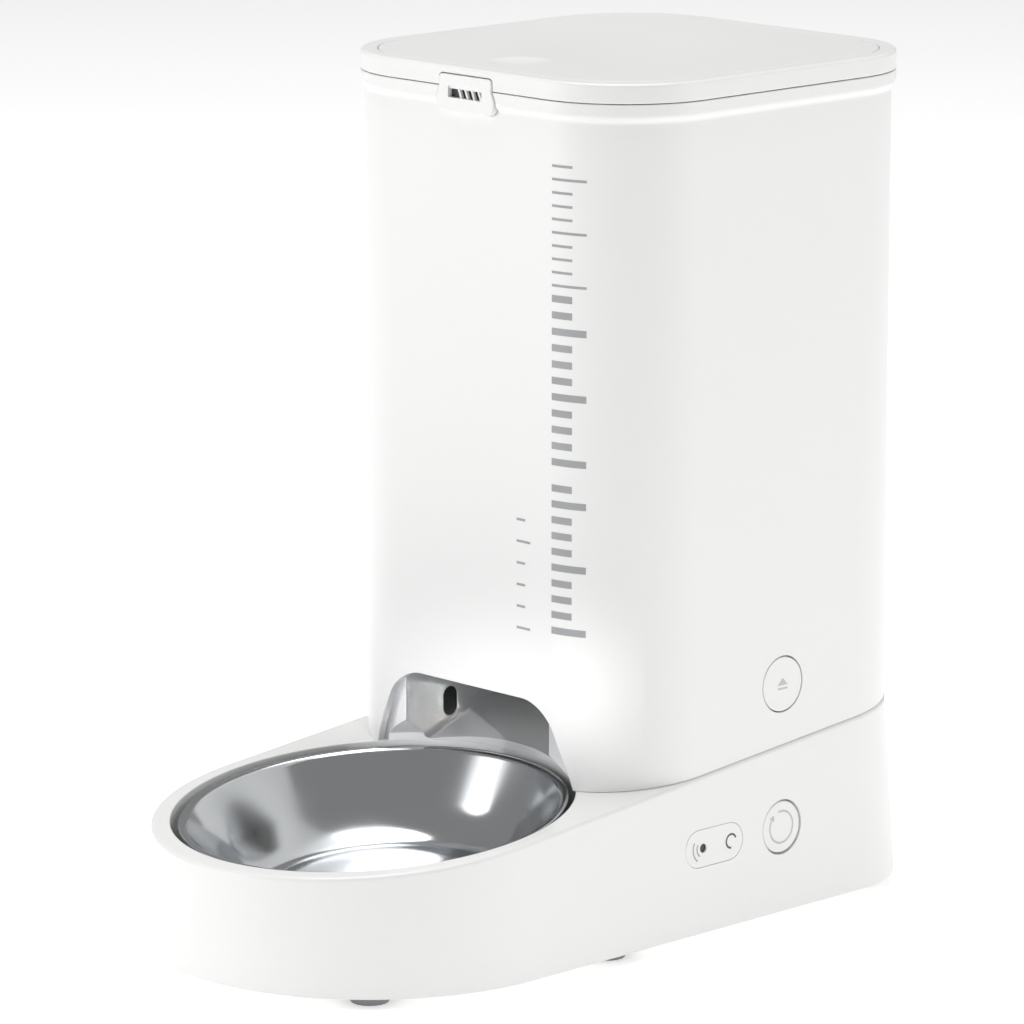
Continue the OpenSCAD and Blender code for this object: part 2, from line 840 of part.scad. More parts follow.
module dispenser_floor() {
    color("gainsboro") translate([0, tower_y, 0]) difference() {
        union() {
            translate([0, 0, floor_z]) cylinder(h = floor_t, r = chamber_r + bin_t);
            translate([0, 0, 89]) cylinder(h = 8, r = shaft_r + 3.5);
        }
        translate([0, 0, 80]) cylinder(h = 30, r = shaft_r + slim_gap);
        translate([0, 0, floor_z - 1]) ring_sector(outlet_r1, outlet_r2, outlet_half, floor_t + 2);
        for (turn = [45:90:315])
            rotate([0, 0, turn]) translate([chamber_r + 0.2, 0, 80]) cylinder(h = 30, r = 1.1, $fn = 24);
    }
}

module dispenser_screws() {
    color("silver") translate([0, tower_y, floor_z - 1.2]) for (turn = [45:90:315])
        rotate([0, 0, turn]) translate([chamber_r + 0.2, 0, 0]) screw(1.7, 1.2, 1, 2.9);
}

// Roof over the outlet, above the vanes
module metering_shield() {
    color("gainsboro") translate([0, tower_y, vane_top + 1.6])
        ring_sector(hub_r + 3, chamber_r - 0.1, outlet_half + 7, 2);
}

module release_brackets() {
    color("gainsboro") for (side = [-1, 1])
        translate([side * 64 - 1, release_y - 9, 80]) cube([2, 18, frame_z - 80]);
}

module hinge_pin() {
    color("silver") translate([0, hinge_y, hinge_z]) bar_x(hinge_pin_r, -ear_out, ear_out);
}

// ---- Rotor ----

module rotor_wheel() {
    color("whitesmoke") translate([0, tower_y, vane_z]) linear_extrude(vane_top - vane_z)
        difference() {
            union() {
                circle(hub_r);
                for (i = [0:vanes - 1])
                    rotate(i * 360 / vanes) translate([0, -1.2]) square([vane_r, 2.4]);
            }
            circle(shaft_r);
        }
}

module rotor_wipers() {
    color("dimgray") translate([0, tower_y, vane_z - 0.5]) for (i = [0:vanes - 1])
        rotate([0, 0, i * 360 / vanes]) translate([vane_r, -1, 0]) cube([3.2, 2, vane_top - vane_z]);
}

// Shaft with the cross-shaped socket over the drive dog
module rotor_shaft() {
    color("gold") translate([0, tower_y, 0]) difference() {
        union() {
            translate([0, 0, 70.7]) cylinder(h = 9, r = 8.6);
            translate([0, 0, 79]) cylinder(h = vane_top + 1.2 - 79, r = shaft_r);
        }
        for (turn = [0, 90])
            rotate([0, 0, turn]) translate([-6.8, -1.9, 70]) cube([13.6, 3.8, 7.6]);
    }
}

module stirrer() {
    color("gainsboro") translate([0, tower_y, vane_top + 1.4]) {
        cylinder(h = 15, r = 7);
        for (side = [-1, 1]) {
            translate([0, 0, 11]) bar_x(2.2, side < 0 ? -34 : 0, side < 0 ? 0 : 34);
            translate([side * 31, 0, 11]) cylinder(h = 16, r = 2);
            translate([side * 16, 0, 11]) cylinder(h = 10, r = 2);
        }
    }
}

// ---- Release buttons ----

module release_button() {
    color("white") {
        translate([0, release_y, release_z]) {
            bar_x(release_r, 73.6, tower_hx);
            bar_x(release_r + 1.3, 73.6, 75.6);
            bar_x(2.8, 68.5, 73.7);
        }
        translate([71.4, release_y - 5, 70.4]) cube([2.2, 10, 10]);
        translate([71.4, release_y - 5, 70.4]) cube([2.3, 10, 1.6]);
    }
}

module release_button_right() {
    release_button();
}

module release_button_left() {
    mirror([1, 0, 0]) release_button();
}

module release_spring() {
    color("silver") translate([65.05, release_y, release_z]) rotate([0, 90, 0])
        coil_spring(4.6, 8.45, 4, 0.4);
}

module release_spring_right() {
    release_spring();
}

module release_spring_left() {
    mirror([1, 0, 0]) release_spring();
}

// ---- Lid ----

module lid_shell() {
    color("white") difference() {
        union() {
            tower_block(lid_hx, lid_hy, lid_r, lid_z, body_h);
            tower_block(plug_hx, plug_hy, plug_r, plug_z, web_z);
            translate([0, hinge_y, hinge_z]) bar_x(knuckle_r, -knuckle_hw, knuckle_hw);
            translate([-knuckle_hw, hinge_y - 2.2, hinge_z]) cube([2 * knuckle_hw, 4.4, 6.6]);
            translate([-knuckle_hw, collar_rear_y - 4, lid_z + 0.2])
                cube([2 * knuckle_hw, hinge_y + 2.2 - collar_rear_y + 4, 2.9]);
        }
        difference() {
            tower_block(lid_hx - lid_wall, lid_hy - lid_wall, lid_r - lid_wall, 300, web_z);
            tower_block(plug_hx, plug_hy, plug_r, 300, web_z);
        }
        tower_block(plug_hx - plug_wall, plug_hy - plug_wall, plug_r - plug_wall, 300, web_z);
        tower_block(panel_hx + panel_gap, panel_hy + panel_gap, panel_corner + panel_gap,
            panel_z1, far);
        translate([0, hinge_y, hinge_z]) bar_x(hinge_pin_r + slim_gap, -far / 2, far / 2);
        translate([-latch_w / 2 - 0.4, -far - 17.6, lid_z - 1])
            cube([latch_w + 0.8, far, latch_z2 + 0.6 - lid_z + 1]);
        translate([0, latch_pin_y, latch_pin_z]) bar_x(latch_pin_r, -16.6, 16.6);
    }
}

module lid_panel() {
    color("white") difference() {
        tower_block(panel_hx, panel_hy, panel_corner, panel_z1, body_h);
        translate([0, dimple_y, body_h + dimple_r - dimple_depth]) sphere(dimple_r, $fn = 96);
    }
}

module lid_seal() {
    color("lightgray") difference() {
        union() {
            tower_block(73.6, 75.5, 33.4, 304.6, 312.8);
            tower_block(74.8, 76.7, 34.6, 306.4, 308);
        }
        tower_block(plug_hx + 0.1, plug_hy + 0.1, plug_r + 0.1, 300, far);
    }
}

module desiccant_box() {
    color("whitesmoke") translate([0, tower_y, 0]) difference() {
        union() {
            translate([0, 0, box_low]) cylinder(h = web_z - box_low, r = box_r);
            translate([0, 0, 310.6]) cylinder(h = web_z - 310.6, r = box_r + 5);
        }
        translate([0, 0, box_low - 1]) cylinder(h = 22, r = box_r - 1.8);
        for (turn = [0:60:300])
            rotate([0, 0, turn]) translate([-5, 0, 298]) cube([10, far, 4]);
    }
}

module desiccant_pack() {
    color("lightblue") translate([0, tower_y, box_low + 0.6]) cylinder(h = 19, r = box_r - 3);
}

module desiccant_cover() {
    color("whitesmoke") translate([0, tower_y, 0]) difference() {
        translate([0, 0, 285.4]) cylinder(h = 9, r = box_r + 2.4);
        translate([0, 0, 287.4]) cylinder(h = 10, r = box_r + 0.3);
        for (turn = [0:30:330])
            rotate([0, 0, turn]) translate([10, -1.2, 280]) cube([18, 2.4, 10]);
    }
}

// ---- Latch ----

module latch_outline() {
    hull() {
        translate([-latch_w / 2 + 2, latch_z2 - 2]) circle(2, $fn = 32);
        translate([latch_w / 2 - 2, latch_z2 - 2]) circle(2, $fn = 32);
        translate([-latch_w / 2, 306]) square([latch_w, 4]);
        for (side = [-1, 1])
            translate([side * (latch_low_hw - 5), latch_z1 + 5]) circle(5, $fn = 32);
    }
}

module lid_latch() {
    color("white") difference() {
        union() {
            translate([0, latch_y + latch_t, 0]) rotate([90, 0, 0]) linear_extrude(latch_t)
                intersection() {
                    latch_outline();
                    union() {
                        translate([-far / 2, 0]) square([far, lid_z - 0.5]);
                        translate([-latch_w / 2, 300]) square([latch_w, 20]);
                    }
                }
            translate([0, latch_pin_y, latch_pin_z]) bar_x(1.6, -latch_w / 2, latch_w / 2);
        }
        difference() {
            translate([-latch_slot_hw, latch_y - 1, latch_slot_z1])
                cube([2 * latch_slot_hw, 2.9, latch_slot_z2 - latch_slot_z1]);
            for (i = [-2:2])
                translate([i * 3.4, latch_y, 308.2]) rotate([0, 25, 0])
                    translate([-0.5, 0.7, -5]) cube([1, 5, 10]);
        }
        translate([0, latch_pin_y, latch_pin_z]) bar_x(latch_pin_r + slim_gap, -far / 2, far / 2);
        translate([0, latch_pin_y, latch_pin_z]) bar_x(1.6, 4.9, 11.1);
    }
}

module latch_pin() {
    color("silver") translate([0, latch_pin_y, latch_pin_z]) bar_x(latch_pin_r, -16.5, 16.5);
}

module latch_spring() {
    color("silver") translate([5.1, latch_pin_y, latch_pin_z]) rotate([0, 90, 0])
        coil_spring(1.15, 5.8, 5, 0.22);
}

base_shell();
base_bottom_plate();
rubber_feet();
base_screws();
battery_door();
battery_door_screw();
battery_tray();
backup_cells();
battery_contacts();
power_inlet();
circuit_board();
feed_switch();
status_panel();
status_window();
chute_liner();
chute_sensors();
gearbox_base();
gearbox_cover();
gearbox_screws();
drive_motor();
idler_axle();
motor_shaft();
motor_pinion();
idler_gear();
output_gear();
output_shaft();
feed_button();
feed_spring();
bowl();
tower_shell();
hopper_bin();
support_frame();
dispenser_floor();
dispenser_screws();
metering_shield();
release_brackets();
hinge_pin();
rotor_wheel();
rotor_wipers();
rotor_shaft();
stirrer();
release_button_right();
release_button_left();
release_spring_right();
release_spring_left();
lid_shell();
lid_panel();
lid_seal();
desiccant_box();
desiccant_pack();
desiccant_cover();
lid_latch();
latch_pin();
latch_spring();
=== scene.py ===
import json
import math
import bmesh
import bpy
from mathutils import Matrix, Vector


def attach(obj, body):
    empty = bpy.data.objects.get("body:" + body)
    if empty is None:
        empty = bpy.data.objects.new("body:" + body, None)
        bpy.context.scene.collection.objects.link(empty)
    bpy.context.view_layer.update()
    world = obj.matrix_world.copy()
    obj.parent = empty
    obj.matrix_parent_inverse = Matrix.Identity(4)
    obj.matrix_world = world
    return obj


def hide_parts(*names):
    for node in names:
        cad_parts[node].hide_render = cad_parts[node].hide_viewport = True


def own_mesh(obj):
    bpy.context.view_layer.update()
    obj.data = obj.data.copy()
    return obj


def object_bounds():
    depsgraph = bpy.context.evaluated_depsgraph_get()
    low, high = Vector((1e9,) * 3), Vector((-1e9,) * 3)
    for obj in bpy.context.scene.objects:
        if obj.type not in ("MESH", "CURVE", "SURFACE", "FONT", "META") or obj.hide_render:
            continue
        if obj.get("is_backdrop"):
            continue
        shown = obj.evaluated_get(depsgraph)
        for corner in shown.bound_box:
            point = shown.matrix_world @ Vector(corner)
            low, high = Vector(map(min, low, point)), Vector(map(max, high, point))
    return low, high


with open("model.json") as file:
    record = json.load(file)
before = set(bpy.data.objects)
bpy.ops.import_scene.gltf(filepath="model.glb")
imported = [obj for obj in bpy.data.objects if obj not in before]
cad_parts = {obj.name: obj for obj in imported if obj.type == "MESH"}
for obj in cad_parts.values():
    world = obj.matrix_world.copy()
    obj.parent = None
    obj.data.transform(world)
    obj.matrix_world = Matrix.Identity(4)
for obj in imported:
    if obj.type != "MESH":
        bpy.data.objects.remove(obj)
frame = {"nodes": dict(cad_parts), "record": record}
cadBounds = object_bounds()
thousand = 1000.0


# Camera and lights

cameraSetup = {
    "azimuth": 46.0,  # degrees round from the bowl end
    "elevation": 12.0,
    "distance": 2272.0,
    "aim": (0.6, 0.6, 151.3),
    "lens": 217.9,
    "sensor": 36.0,
}
azimuth = math.radians(cameraSetup["azimuth"])
elevation = math.radians(cameraSetup["elevation"])
outward = Vector((math.sin(azimuth) * math.cos(elevation),
                  -math.cos(azimuth) * math.cos(elevation), math.sin(elevation)))
camera = bpy.data.objects.new("camera", bpy.data.cameras.new("camera"))
camera.data.lens = cameraSetup["lens"]
camera.data.sensor_width = cameraSetup["sensor"]
camera.data.clip_end = 60.0
camera.location = (Vector(cameraSetup["aim"]) + outward * cameraSetup["distance"]) / thousand
camera.rotation_euler = (math.pi / 2 - elevation, 0, azimuth)
bpy.context.scene.collection.objects.link(camera)
bpy.context.scene.camera = camera
bpy.context.scene.view_settings.view_transform = "Standard"

softboxes = {  # size in metres, watts, beam in degrees, place, point it faces
    "frontSoftbox": (1.6, 14.6, 180, (-1.3, -1.9, 0.7), (0.0, 0.0, 0.15)),
    "sideSoftbox": (1.6, 10.6, 180, (2.2, 1.3, 0.8), (0.0, 0.05, 0.15)),
    "topSoftbox": (2.2, 47.0, 180, (-0.2, 0.1, 2.6), (0.0, 0.0, 0.1)),
    "archSoftbox": (0.04, 0.0058, 2.2, (1.65, -0.75, 0.42), (-0.035, 0.0, 0.078)),
}
for name, (size, watts, beam, place, target) in softboxes.items():
    light = bpy.data.lights.new(name, "AREA")
    light.shape = "DISK"
    light.size = size
    light.energy = watts
    light.spread = math.radians(beam)
    softbox = bpy.data.objects.new(name, light)
    softbox.location = place
    softbox.rotation_euler = (Vector(target) - Vector(place)).to_track_quat("-Z", "Y").to_euler()
    bpy.context.scene.collection.objects.link(softbox)

roomLight = {"colour": (1.0, 1.0, 1.0, 1.0), "strength": 0.3}
world = bpy.data.worlds.new("studio")
world.use_nodes = True
world.node_tree.nodes["Background"].inputs["Color"].default_value = roomLight["colour"]
world.node_tree.nodes["Background"].inputs["Strength"].default_value = roomLight["strength"]
bpy.context.scene.world = world
print("camera and lights ready")


# Materials

def linearColour(code):  # sRGB hex to the linear colour that shaders use
    channels = [int(code[i:i + 2], 16) / 255 for i in (1, 3, 5)]
    return [c / 12.92 if c <= 0.04045 else ((c + 0.055) / 1.055) ** 2.4 for c in channels] + [1.0]


def addNode(material, kind, inputs, **settings):
    node = material.node_tree.nodes.new(kind)
    for name, value in settings.items():
        setattr(node, name, value)
    for name, value in inputs.items():
        if isinstance(value, bpy.types.NodeSocket):
            material.node_tree.links.new(value, node.inputs[name])
        else:
            node.inputs[name].default_value = value
    return node


def perMillimetre(size):  # texture scale for a feature of that many millimetres
    return thousand / size


def newFinish(name, colour, **settings):  # a material with constant values on the shader's own sockets
    material = bpy.data.materials.new(name)
    material.use_nodes = True
    material.diffuse_color = linearColour(colour)
    shader = material.node_tree.nodes["Principled BSDF"]
    shader.inputs["Base Color"].default_value = linearColour(colour)
    for socket, value in settings.items():
        shader.inputs[socket.replace("_", " ")].default_value = value
    return material, shader


def addVariation(material, shader, grain, depth, patch, shades, roughness):
    # grain and depth give the bump in mm; patch is the size in mm of the slow changes of shade and gloss
    links = material.node_tree.links
    place = addNode(material, "ShaderNodeTexCoord", {}).outputs["Object"]
    fine = addNode(material, "ShaderNodeTexNoise",
                   {"Vector": place, "Scale": perMillimetre(grain), "Detail": 3.0, "Roughness": 0.6})
    slow = addNode(material, "ShaderNodeTexNoise",
                   {"Vector": place, "Scale": perMillimetre(patch), "Detail": 0.0})
    bump = addNode(material, "ShaderNodeBump",
                   {"Height": fine.outputs["Fac"], "Strength": 0.5, "Distance": depth / thousand})
    gloss = addNode(material, "ShaderNodeMapRange",
                    {"Value": slow.outputs["Fac"], "From Min": 0.3, "From Max": 0.7,
                     "To Min": roughness[0], "To Max": roughness[1]})
    shade = addNode(material, "ShaderNodeMixRGB",
                    {"Fac": slow.outputs["Fac"], "Color1": linearColour(shades[0]),
                     "Color2": linearColour(shades[1])})
    links.new(bump.outputs["Normal"], shader.inputs["Normal"])
    links.new(gloss.outputs["Result"], shader.inputs["Roughness"])
    links.new(shade.outputs["Color"], shader.inputs["Base Color"])
    return place


# name: colours, shader values, then grain, depth and patch in mm and the range of roughness
plainFinishes = {
    # injection-moulded ABS with a fine spark-eroded skin: bright, clean white with a soft gloss
    "mouldedWhiteAbs": (("#f5f5f4", "#f5f5f4"), {"IOR": 1.54}, (0.8, 0.006, 60.0, (0.28, 0.31))),
    # injection-moulded polypropylene for hidden and inner parts: slightly waxy, warmer white
    "waxyPolypropylene": (("#eeeeea", "#e6e6e1"), {"IOR": 1.49}, (1.2, 0.02, 30.0, (0.38, 0.5))),
    # moulded grey rubber of the feet, dull and a little dusty
    "dullGreyRubber": (("#8b8d8f", "#7d7f81"), {"IOR": 1.52}, (0.5, 0.05, 12.0, (0.6, 0.8))),
    # platinum-cured silicone lip: milky, with a velvety sheen
    "milkySilicone": (("#d7d9da", "#cdcfd0"), {"IOR": 1.41, "Subsurface_Weight": 0.15},
                      (0.6, 0.02, 20.0, (0.45, 0.6))),
    # acetal gears: dense, slippery off-white
    "slipperyAcetal": (("#efeee8", "#e7e5dd"), {"IOR": 1.48}, (0.4, 0.01, 9.0, (0.28, 0.4))),
    # dark moulded ABS inside the base, and painted shade as the dark plate behind the latch's finger slot
    "darkAbsAndPaintedShade": (("#2c2e30", "#232527"), {"IOR": 1.54}, (0.7, 0.03, 15.0, (0.4, 0.55))),
    # smoked acrylic light window, almost black with a hard shine
    "smokedAcrylic": (("#0b0b0c", "#070708"), {"IOR": 1.49, "Coat_Weight": 0.5, "Coat_Roughness": 0.05},
                      (0.3, 0.002, 4.0, (0.08, 0.14))),
    # zinc-plated steel of screws, pins and contacts: cool, cloudy and slightly bright
    "cloudyZincSteel": (("#c3c6ca", "#a9adb3"), {"Metallic": 1.0}, (0.25, 0.01, 2.5, (0.26, 0.42))),
    # drawn spring steel wire with a thin oil film
    "oiledSpringSteel": (("#a7a9ac", "#8d8f93"), {"Metallic": 1.0}, (0.15, 0.01, 3.0, (0.2, 0.32))),
    # turned brass of the pinion and the drive shafts
    "turnedBrass": (("#d9b566", "#c79f4f"), {"Metallic": 1.0}, (0.2, 0.008, 5.0, (0.22, 0.34))),
    # shrink sleeve of the cells, printed in one plain colour
    "shrinkSleeve": (("#c58b2f", "#b77d28"), {"IOR": 1.5}, (0.6, 0.02, 14.0, (0.25, 0.35))),
    # pressed drying felt, loose and matt
    "dryingFelt": (("#dfe6ea", "#cfd8dd"), {"Sheen_Weight": 0.4}, (0.7, 0.25, 6.0, (0.85, 0.95))),
    # very pale ink of the signs on the buttons
    "palePrintInk": (("#c9cacb", "#c4c5c6"), {"IOR": 1.5}, (0.25, 0.004, 8.0, (0.42, 0.55))),
    # silver-grey screen-printed ink, flatter than the plastic under it
    "screenPrintInk": (("#a9abad", "#a2a4a6"), {"IOR": 1.5}, (0.25, 0.004, 8.0, (0.42, 0.55))),
    # dark ink for the small signs
    "darkPrintInk": (("#5c5e60", "#545658"), {"IOR": 1.5}, (0.25, 0.004, 8.0, (0.42, 0.55))),
}
finishes = {}
for name, (shades, values, (grain, depth, patch, roughness)) in plainFinishes.items():
    material, shader = newFinish(name, shades[0], **values)
    addVariation(material, shader, grain, depth, patch, shades, roughness)
    finishes[name] = material


def spunSteel():  # stainless steel, pressed and polished on a lathe: bright, with faint rings
    ringPitch, ringDepth = 0.7, 0.004  # mm; real polishing lines are finer, and are this coarse to show
    material, shader = newFinish("spunStainlessSteel", "#cfd1d3", Metallic=1.0)
    place = addVariation(material, shader, 0.4, 0.001, 25.0, ("#d3d5d7", "#c3c6c9"), (0.1, 0.2))
    centred = addNode(material, "ShaderNodeMapping",
                      {"Vector": place, "Location": bowlAxis["origin"] / -thousand,
                       "Scale": (1.0, 1.0, 0.0)})
    away = addNode(material, "ShaderNodeVectorMath", {0: centred.outputs["Vector"]}, operation="LENGTH")
    rings = addNode(material, "ShaderNodeTexNoise",
                    {"W": away.outputs["Value"], "Scale": perMillimetre(ringPitch), "Detail": 2.0},
                    noise_dimensions="1D")
    bump = addNode(material, "ShaderNodeBump",
                   {"Height": rings.outputs["Fac"], "Strength": 0.25, "Distance": ringDepth / thousand})
    material.node_tree.links.new(bump.outputs["Normal"], shader.inputs["Normal"])
    return material


def silveredChute():  # ABS under satin silver lacquer: part mirror and part pale grey
    material, shader = newFinish("silverLacqueredAbs", "#eeeff1", Metallic=0.25, IOR=1.5)
    addVariation(material, shader, 1.5, 0.004, 18.0, ("#f0f1f3", "#e9eaec"), (0.18, 0.25))
    return material


def circuitLaminate():  # glass-fibre board under green solder mask, with faint tracks 1.2 mm apart
    trackPitch, waveBands = 1.2, 20  # mm, and the bands that a wave texture has at scale 1
    material, shader = newFinish("greenCircuitLaminate", "#1d5a35", IOR=1.55, Coat_Weight=0.4)
    place = addVariation(material, shader, 0.5, 0.01, 9.0, ("#1f5f39", "#174a2b"), (0.3, 0.4))
    tracks = addNode(material, "ShaderNodeTexWave",
                     {"Vector": place, "Scale": perMillimetre(trackPitch) / waveBands,
                      "Distortion": 6.0, "Detail": 1.0, "Detail Scale": 3.0}, bands_direction="Y")
    tone = addNode(material, "ShaderNodeMixRGB",
                   {"Fac": tracks.outputs["Fac"], "Color1": linearColour("#174a2b"),
                    "Color2": linearColour("#2a7447")})
    material.node_tree.links.new(tone.outputs["Color"], shader.inputs["Base Color"])
    return material


# Shaping helpers, all in millimetres

sharpTurn = math.radians(32)
standing = Matrix.Rotation(math.pi / 2, 4, "X")  # drawn flat, then facing the bowl end
sideways = Matrix.Rotation(math.pi / 2, 4, "Z") @ standing  # drawn flat, then facing +X


def facingFront(y):
    return Matrix.Translation((0, y, 0)) @ standing


def facingSide(x):
    return Matrix.Translation((x, 0, 0)) @ sideways


def rectangle(x1, y1, x2, y2):
    return (x1, y1), (x2, y1), (x2, y2), (x1, y2)


def newEdges(bm, before):
    return [edge for edge in bm.edges if edge not in before]


def roundedRing(bm, centre, half, corner, height, steps=20):
    before = set(bm.edges)
    verts = bmesh.ops.create_grid(bm, x_segments=1, y_segments=1, size=1.0)["verts"]
    bmesh.ops.scale(bm, vec=(half[0], half[1], 1), verts=verts)
    bmesh.ops.translate(bm, vec=(centre[0], centre[1], height), verts=verts)
    bmesh.ops.bevel(bm, geom=verts, offset=corner, offset_type="OFFSET", segments=steps, profile=0.5,
                    affect="VERTICES", material=-1)
    ring = newEdges(bm, before)
    bmesh.ops.delete(bm, geom=[ring[0].link_faces[0]], context="FACES_ONLY")
    return ring


def bridged(bm, loops, closed):  # skin over a stack of edge loops, then face outwards
    following = loops[1:] + loops[:1] if closed else loops[1:]
    for lower, upper in zip(loops, following):
        bmesh.ops.bridge_loops(bm, edges=lower + upper)
    if not closed:
        bmesh.ops.edgeloop_fill(bm, edges=loops[0])
        bmesh.ops.edgeloop_fill(bm, edges=loops[-1])
    bmesh.ops.recalc_face_normals(bm, faces=bm.faces)
    return bm


def stacked(centre, rings, closed=False):  # rings are (half sizes, corner radius, height)
    bm = bmesh.new()
    return bridged(bm, [roundedRing(bm, centre, *ring) for ring in rings], closed)


def block(low, high):
    bm = bmesh.new()
    low, high = Vector(low), Vector(high)
    bmesh.ops.create_cube(bm, size=1.0, matrix=Matrix.Translation((low + high) / 2)
                          @ Matrix.Diagonal((*(high - low), 1)))
    return bm


def rod(radius, start, end, steps=64, endRadius=None):
    bm = bmesh.new()
    start, end = Vector(start), Vector(end)
    turn = (end - start).to_track_quat("Z", "Y").to_matrix().to_4x4()
    bmesh.ops.create_cone(bm, cap_ends=True, segments=steps, radius1=radius,
                          radius2=radius if endRadius is None else endRadius, depth=(end - start).length,
                          matrix=Matrix.Translation((start + end) / 2) @ turn)
    return bm


def prism(points, rounding, depth, place, steps=10):  # outline with rounded corners, given a thickness
    bm = bmesh.new()
    corners = [bm.verts.new((x, y, 0)) for x, y in points]
    bm.faces.new(corners)
    for corner, radius in zip(corners, rounding):
        if radius:
            bmesh.ops.bevel(bm, geom=[corner], offset=radius, offset_type="OFFSET", segments=steps,
                            profile=0.5, affect="VERTICES", material=-1)
    raised = bmesh.ops.extrude_face_region(bm, geom=bm.faces[:])["geom"]
    bmesh.ops.translate(bm, vec=(0, 0, depth),
                        verts=[v for v in raised if isinstance(v, bmesh.types.BMVert)])
    bmesh.ops.transform(bm, matrix=place, verts=bm.verts)
    bmesh.ops.recalc_face_normals(bm, faces=bm.faces)
    return bm


def gathered(*shapes):  # several separate shapes in one mesh
    result = bmesh.new()
    for shape in shapes:
        mesh = bpy.data.meshes.new("shape")
        shape.to_mesh(mesh)
        shape.free()
        result.from_mesh(mesh)
        bpy.data.meshes.remove(mesh)
    return result


def combined(shape, tool, operation):  # shape cut by, joined to or kept inside a tool shape
    parts = []
    for bm in (shape, tool):
        mesh = bpy.data.meshes.new("part")
        bm.to_mesh(mesh)
        bm.free()
        parts.append(bpy.data.objects.new("part", mesh))
        bpy.context.scene.collection.objects.link(parts[-1])
    modifier = parts[0].modifiers.new("combine", "BOOLEAN")
    modifier.operation = operation
    modifier.solver = "MANIFOLD"
    modifier.object = parts[1]
    bpy.context.view_layer.update()
    result = bmesh.new()
    result.from_object(parts[0], bpy.context.evaluated_depsgraph_get())
    for part in parts:
        mesh = part.data
        bpy.data.objects.remove(part)
        bpy.data.meshes.remove(mesh)
    if not result.faces:
        raise ValueError(f"{operation} left nothing")
    return result


def carved(shape, *tools):
    for tool in tools:
        shape = combined(shape, tool, "DIFFERENCE")
    return shape


def joined(shape, *tools):
    for tool in tools:
        shape = combined(shape, tool, "UNION")
    return shape


def soften(bm, width, steps, chosen, turn=0.5):  # round the sharp edges whose middle passes a test
    bmesh.ops.remove_doubles(bm, verts=bm.verts, dist=0.001)
    edges = [e for e in bm.edges if len(e.link_faces) == 2 and e.calc_face_angle(0) > turn
             and chosen((e.verts[0].co + e.verts[1].co) / 2)]
    bmesh.ops.bevel(bm, geom=edges, offset=width, offset_type="OFFSET", segments=steps, profile=0.5,
                    affect="EDGES", material=-1, clamp_overlap=True)
    return bm


def makePiece(name, bm, finish, body, slot, *stoodFor, evenShading=True):
    bmesh.ops.remove_doubles(bm, verts=bm.verts, dist=0.001)
    bmesh.ops.dissolve_degenerate(bm, edges=bm.edges, dist=0.0005)
    bmesh.ops.scale(bm, vec=(1 / thousand,) * 3, verts=bm.verts)
    for face in bm.faces:
        face.smooth = True
    for edge in bm.edges:
        edge.smooth = edge.calc_face_angle(math.pi) < sharpTurn
    mesh = bpy.data.meshes.new(name)
    bm.to_mesh(mesh)
    bm.free()
    mesh.materials.append(finish)
    piece = bpy.data.objects.new(name, mesh)
    bpy.context.scene.collection.objects.link(piece)
    if evenShading:
        piece.modifiers.new("evenShading", "WEIGHTED_NORMAL").keep_sharp = True
    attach(piece, body)
    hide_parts(*stoodFor)
    print("made", name, len(mesh.polygons))
    return piece


# Base casing: a boat-shaped outline, drafted inwards, cut by the sloping deck

baseShape = {
    "foot": (82.25, 80.3, 151.2, 46.0, 3.9),  # bowl-end radius, half-width, rear end, rear corners, height
    "top": (79.1, 79.5, 141.3, 39.5, 80.0),
    "noseY": -68.95,
    "deckHeight": 60.4,
    "deckTilt": 5.63,
    "wall": 2.6,
    "deckEdge": 1.5,
    "noseSteps": 72,
    "cornerSteps": 28,
}
deckTurn = Matrix.Rotation(math.radians(baseShape["deckTilt"]), 4, "X")
deckUp = deckTurn @ Vector((0, 0, 1))
deckFrame = Matrix.Translation((0, 0, baseShape["deckHeight"])) @ deckTurn
alongDeck = baseShape["noseY"] / math.cos(math.radians(baseShape["deckTilt"]))
bowlAxis = {"origin": deckFrame @ Vector((0, alongDeck, 0))}


def aboveDeck(point):
    return (point - Vector((0, 0, baseShape["deckHeight"]))).dot(deckUp)


def atBowl(height):  # point on the bowl axis, that far above the deck
    return bowlAxis["origin"] + deckUp * height


def arc(bm, start, centre, angle, steps):
    first = bmesh.ops.create_vert(bm, co=start)["vert"][0]
    spun = bmesh.ops.spin(bm, geom=[first], cent=centre, axis=(0, 0, 1), angle=angle, steps=steps)
    return first, [v for v in spun["geom_last"] if isinstance(v, bmesh.types.BMVert)][0]


def boatRing(bm, nose, halfWidth, rear, corner, height):
    before = set(bm.edges)
    noseCentre = Vector((0, baseShape["noseY"], height))
    cornerCentre = Vector((halfWidth - corner, rear - corner, height))
    reach = cornerCentre - noseCentre
    lean = math.atan2(reach.y, reach.x) - math.acos((nose - corner) / reach.xy.length)
    side = Vector((math.cos(lean), math.sin(lean), 0))
    noseStart, noseEnd = arc(bm, noseCentre + side * nose, noseCentre, -(math.pi + 2 * lean),
                             baseShape["noseSteps"])
    ends = []
    for sign in (1, -1):
        centre = Vector((sign * cornerCentre.x, cornerCentre.y, height))
        start = centre + Vector((sign * side.x, side.y, 0)) * corner
        ends.append(arc(bm, start, centre, sign * (math.pi / 2 - lean), baseShape["cornerSteps"]))
    for pair in ((noseStart, ends[0][0]), (ends[0][1], ends[1][1]), (ends[1][0], noseEnd)):
        bmesh.ops.contextual_create(bm, geom=pair)
    return newEdges(bm, before)


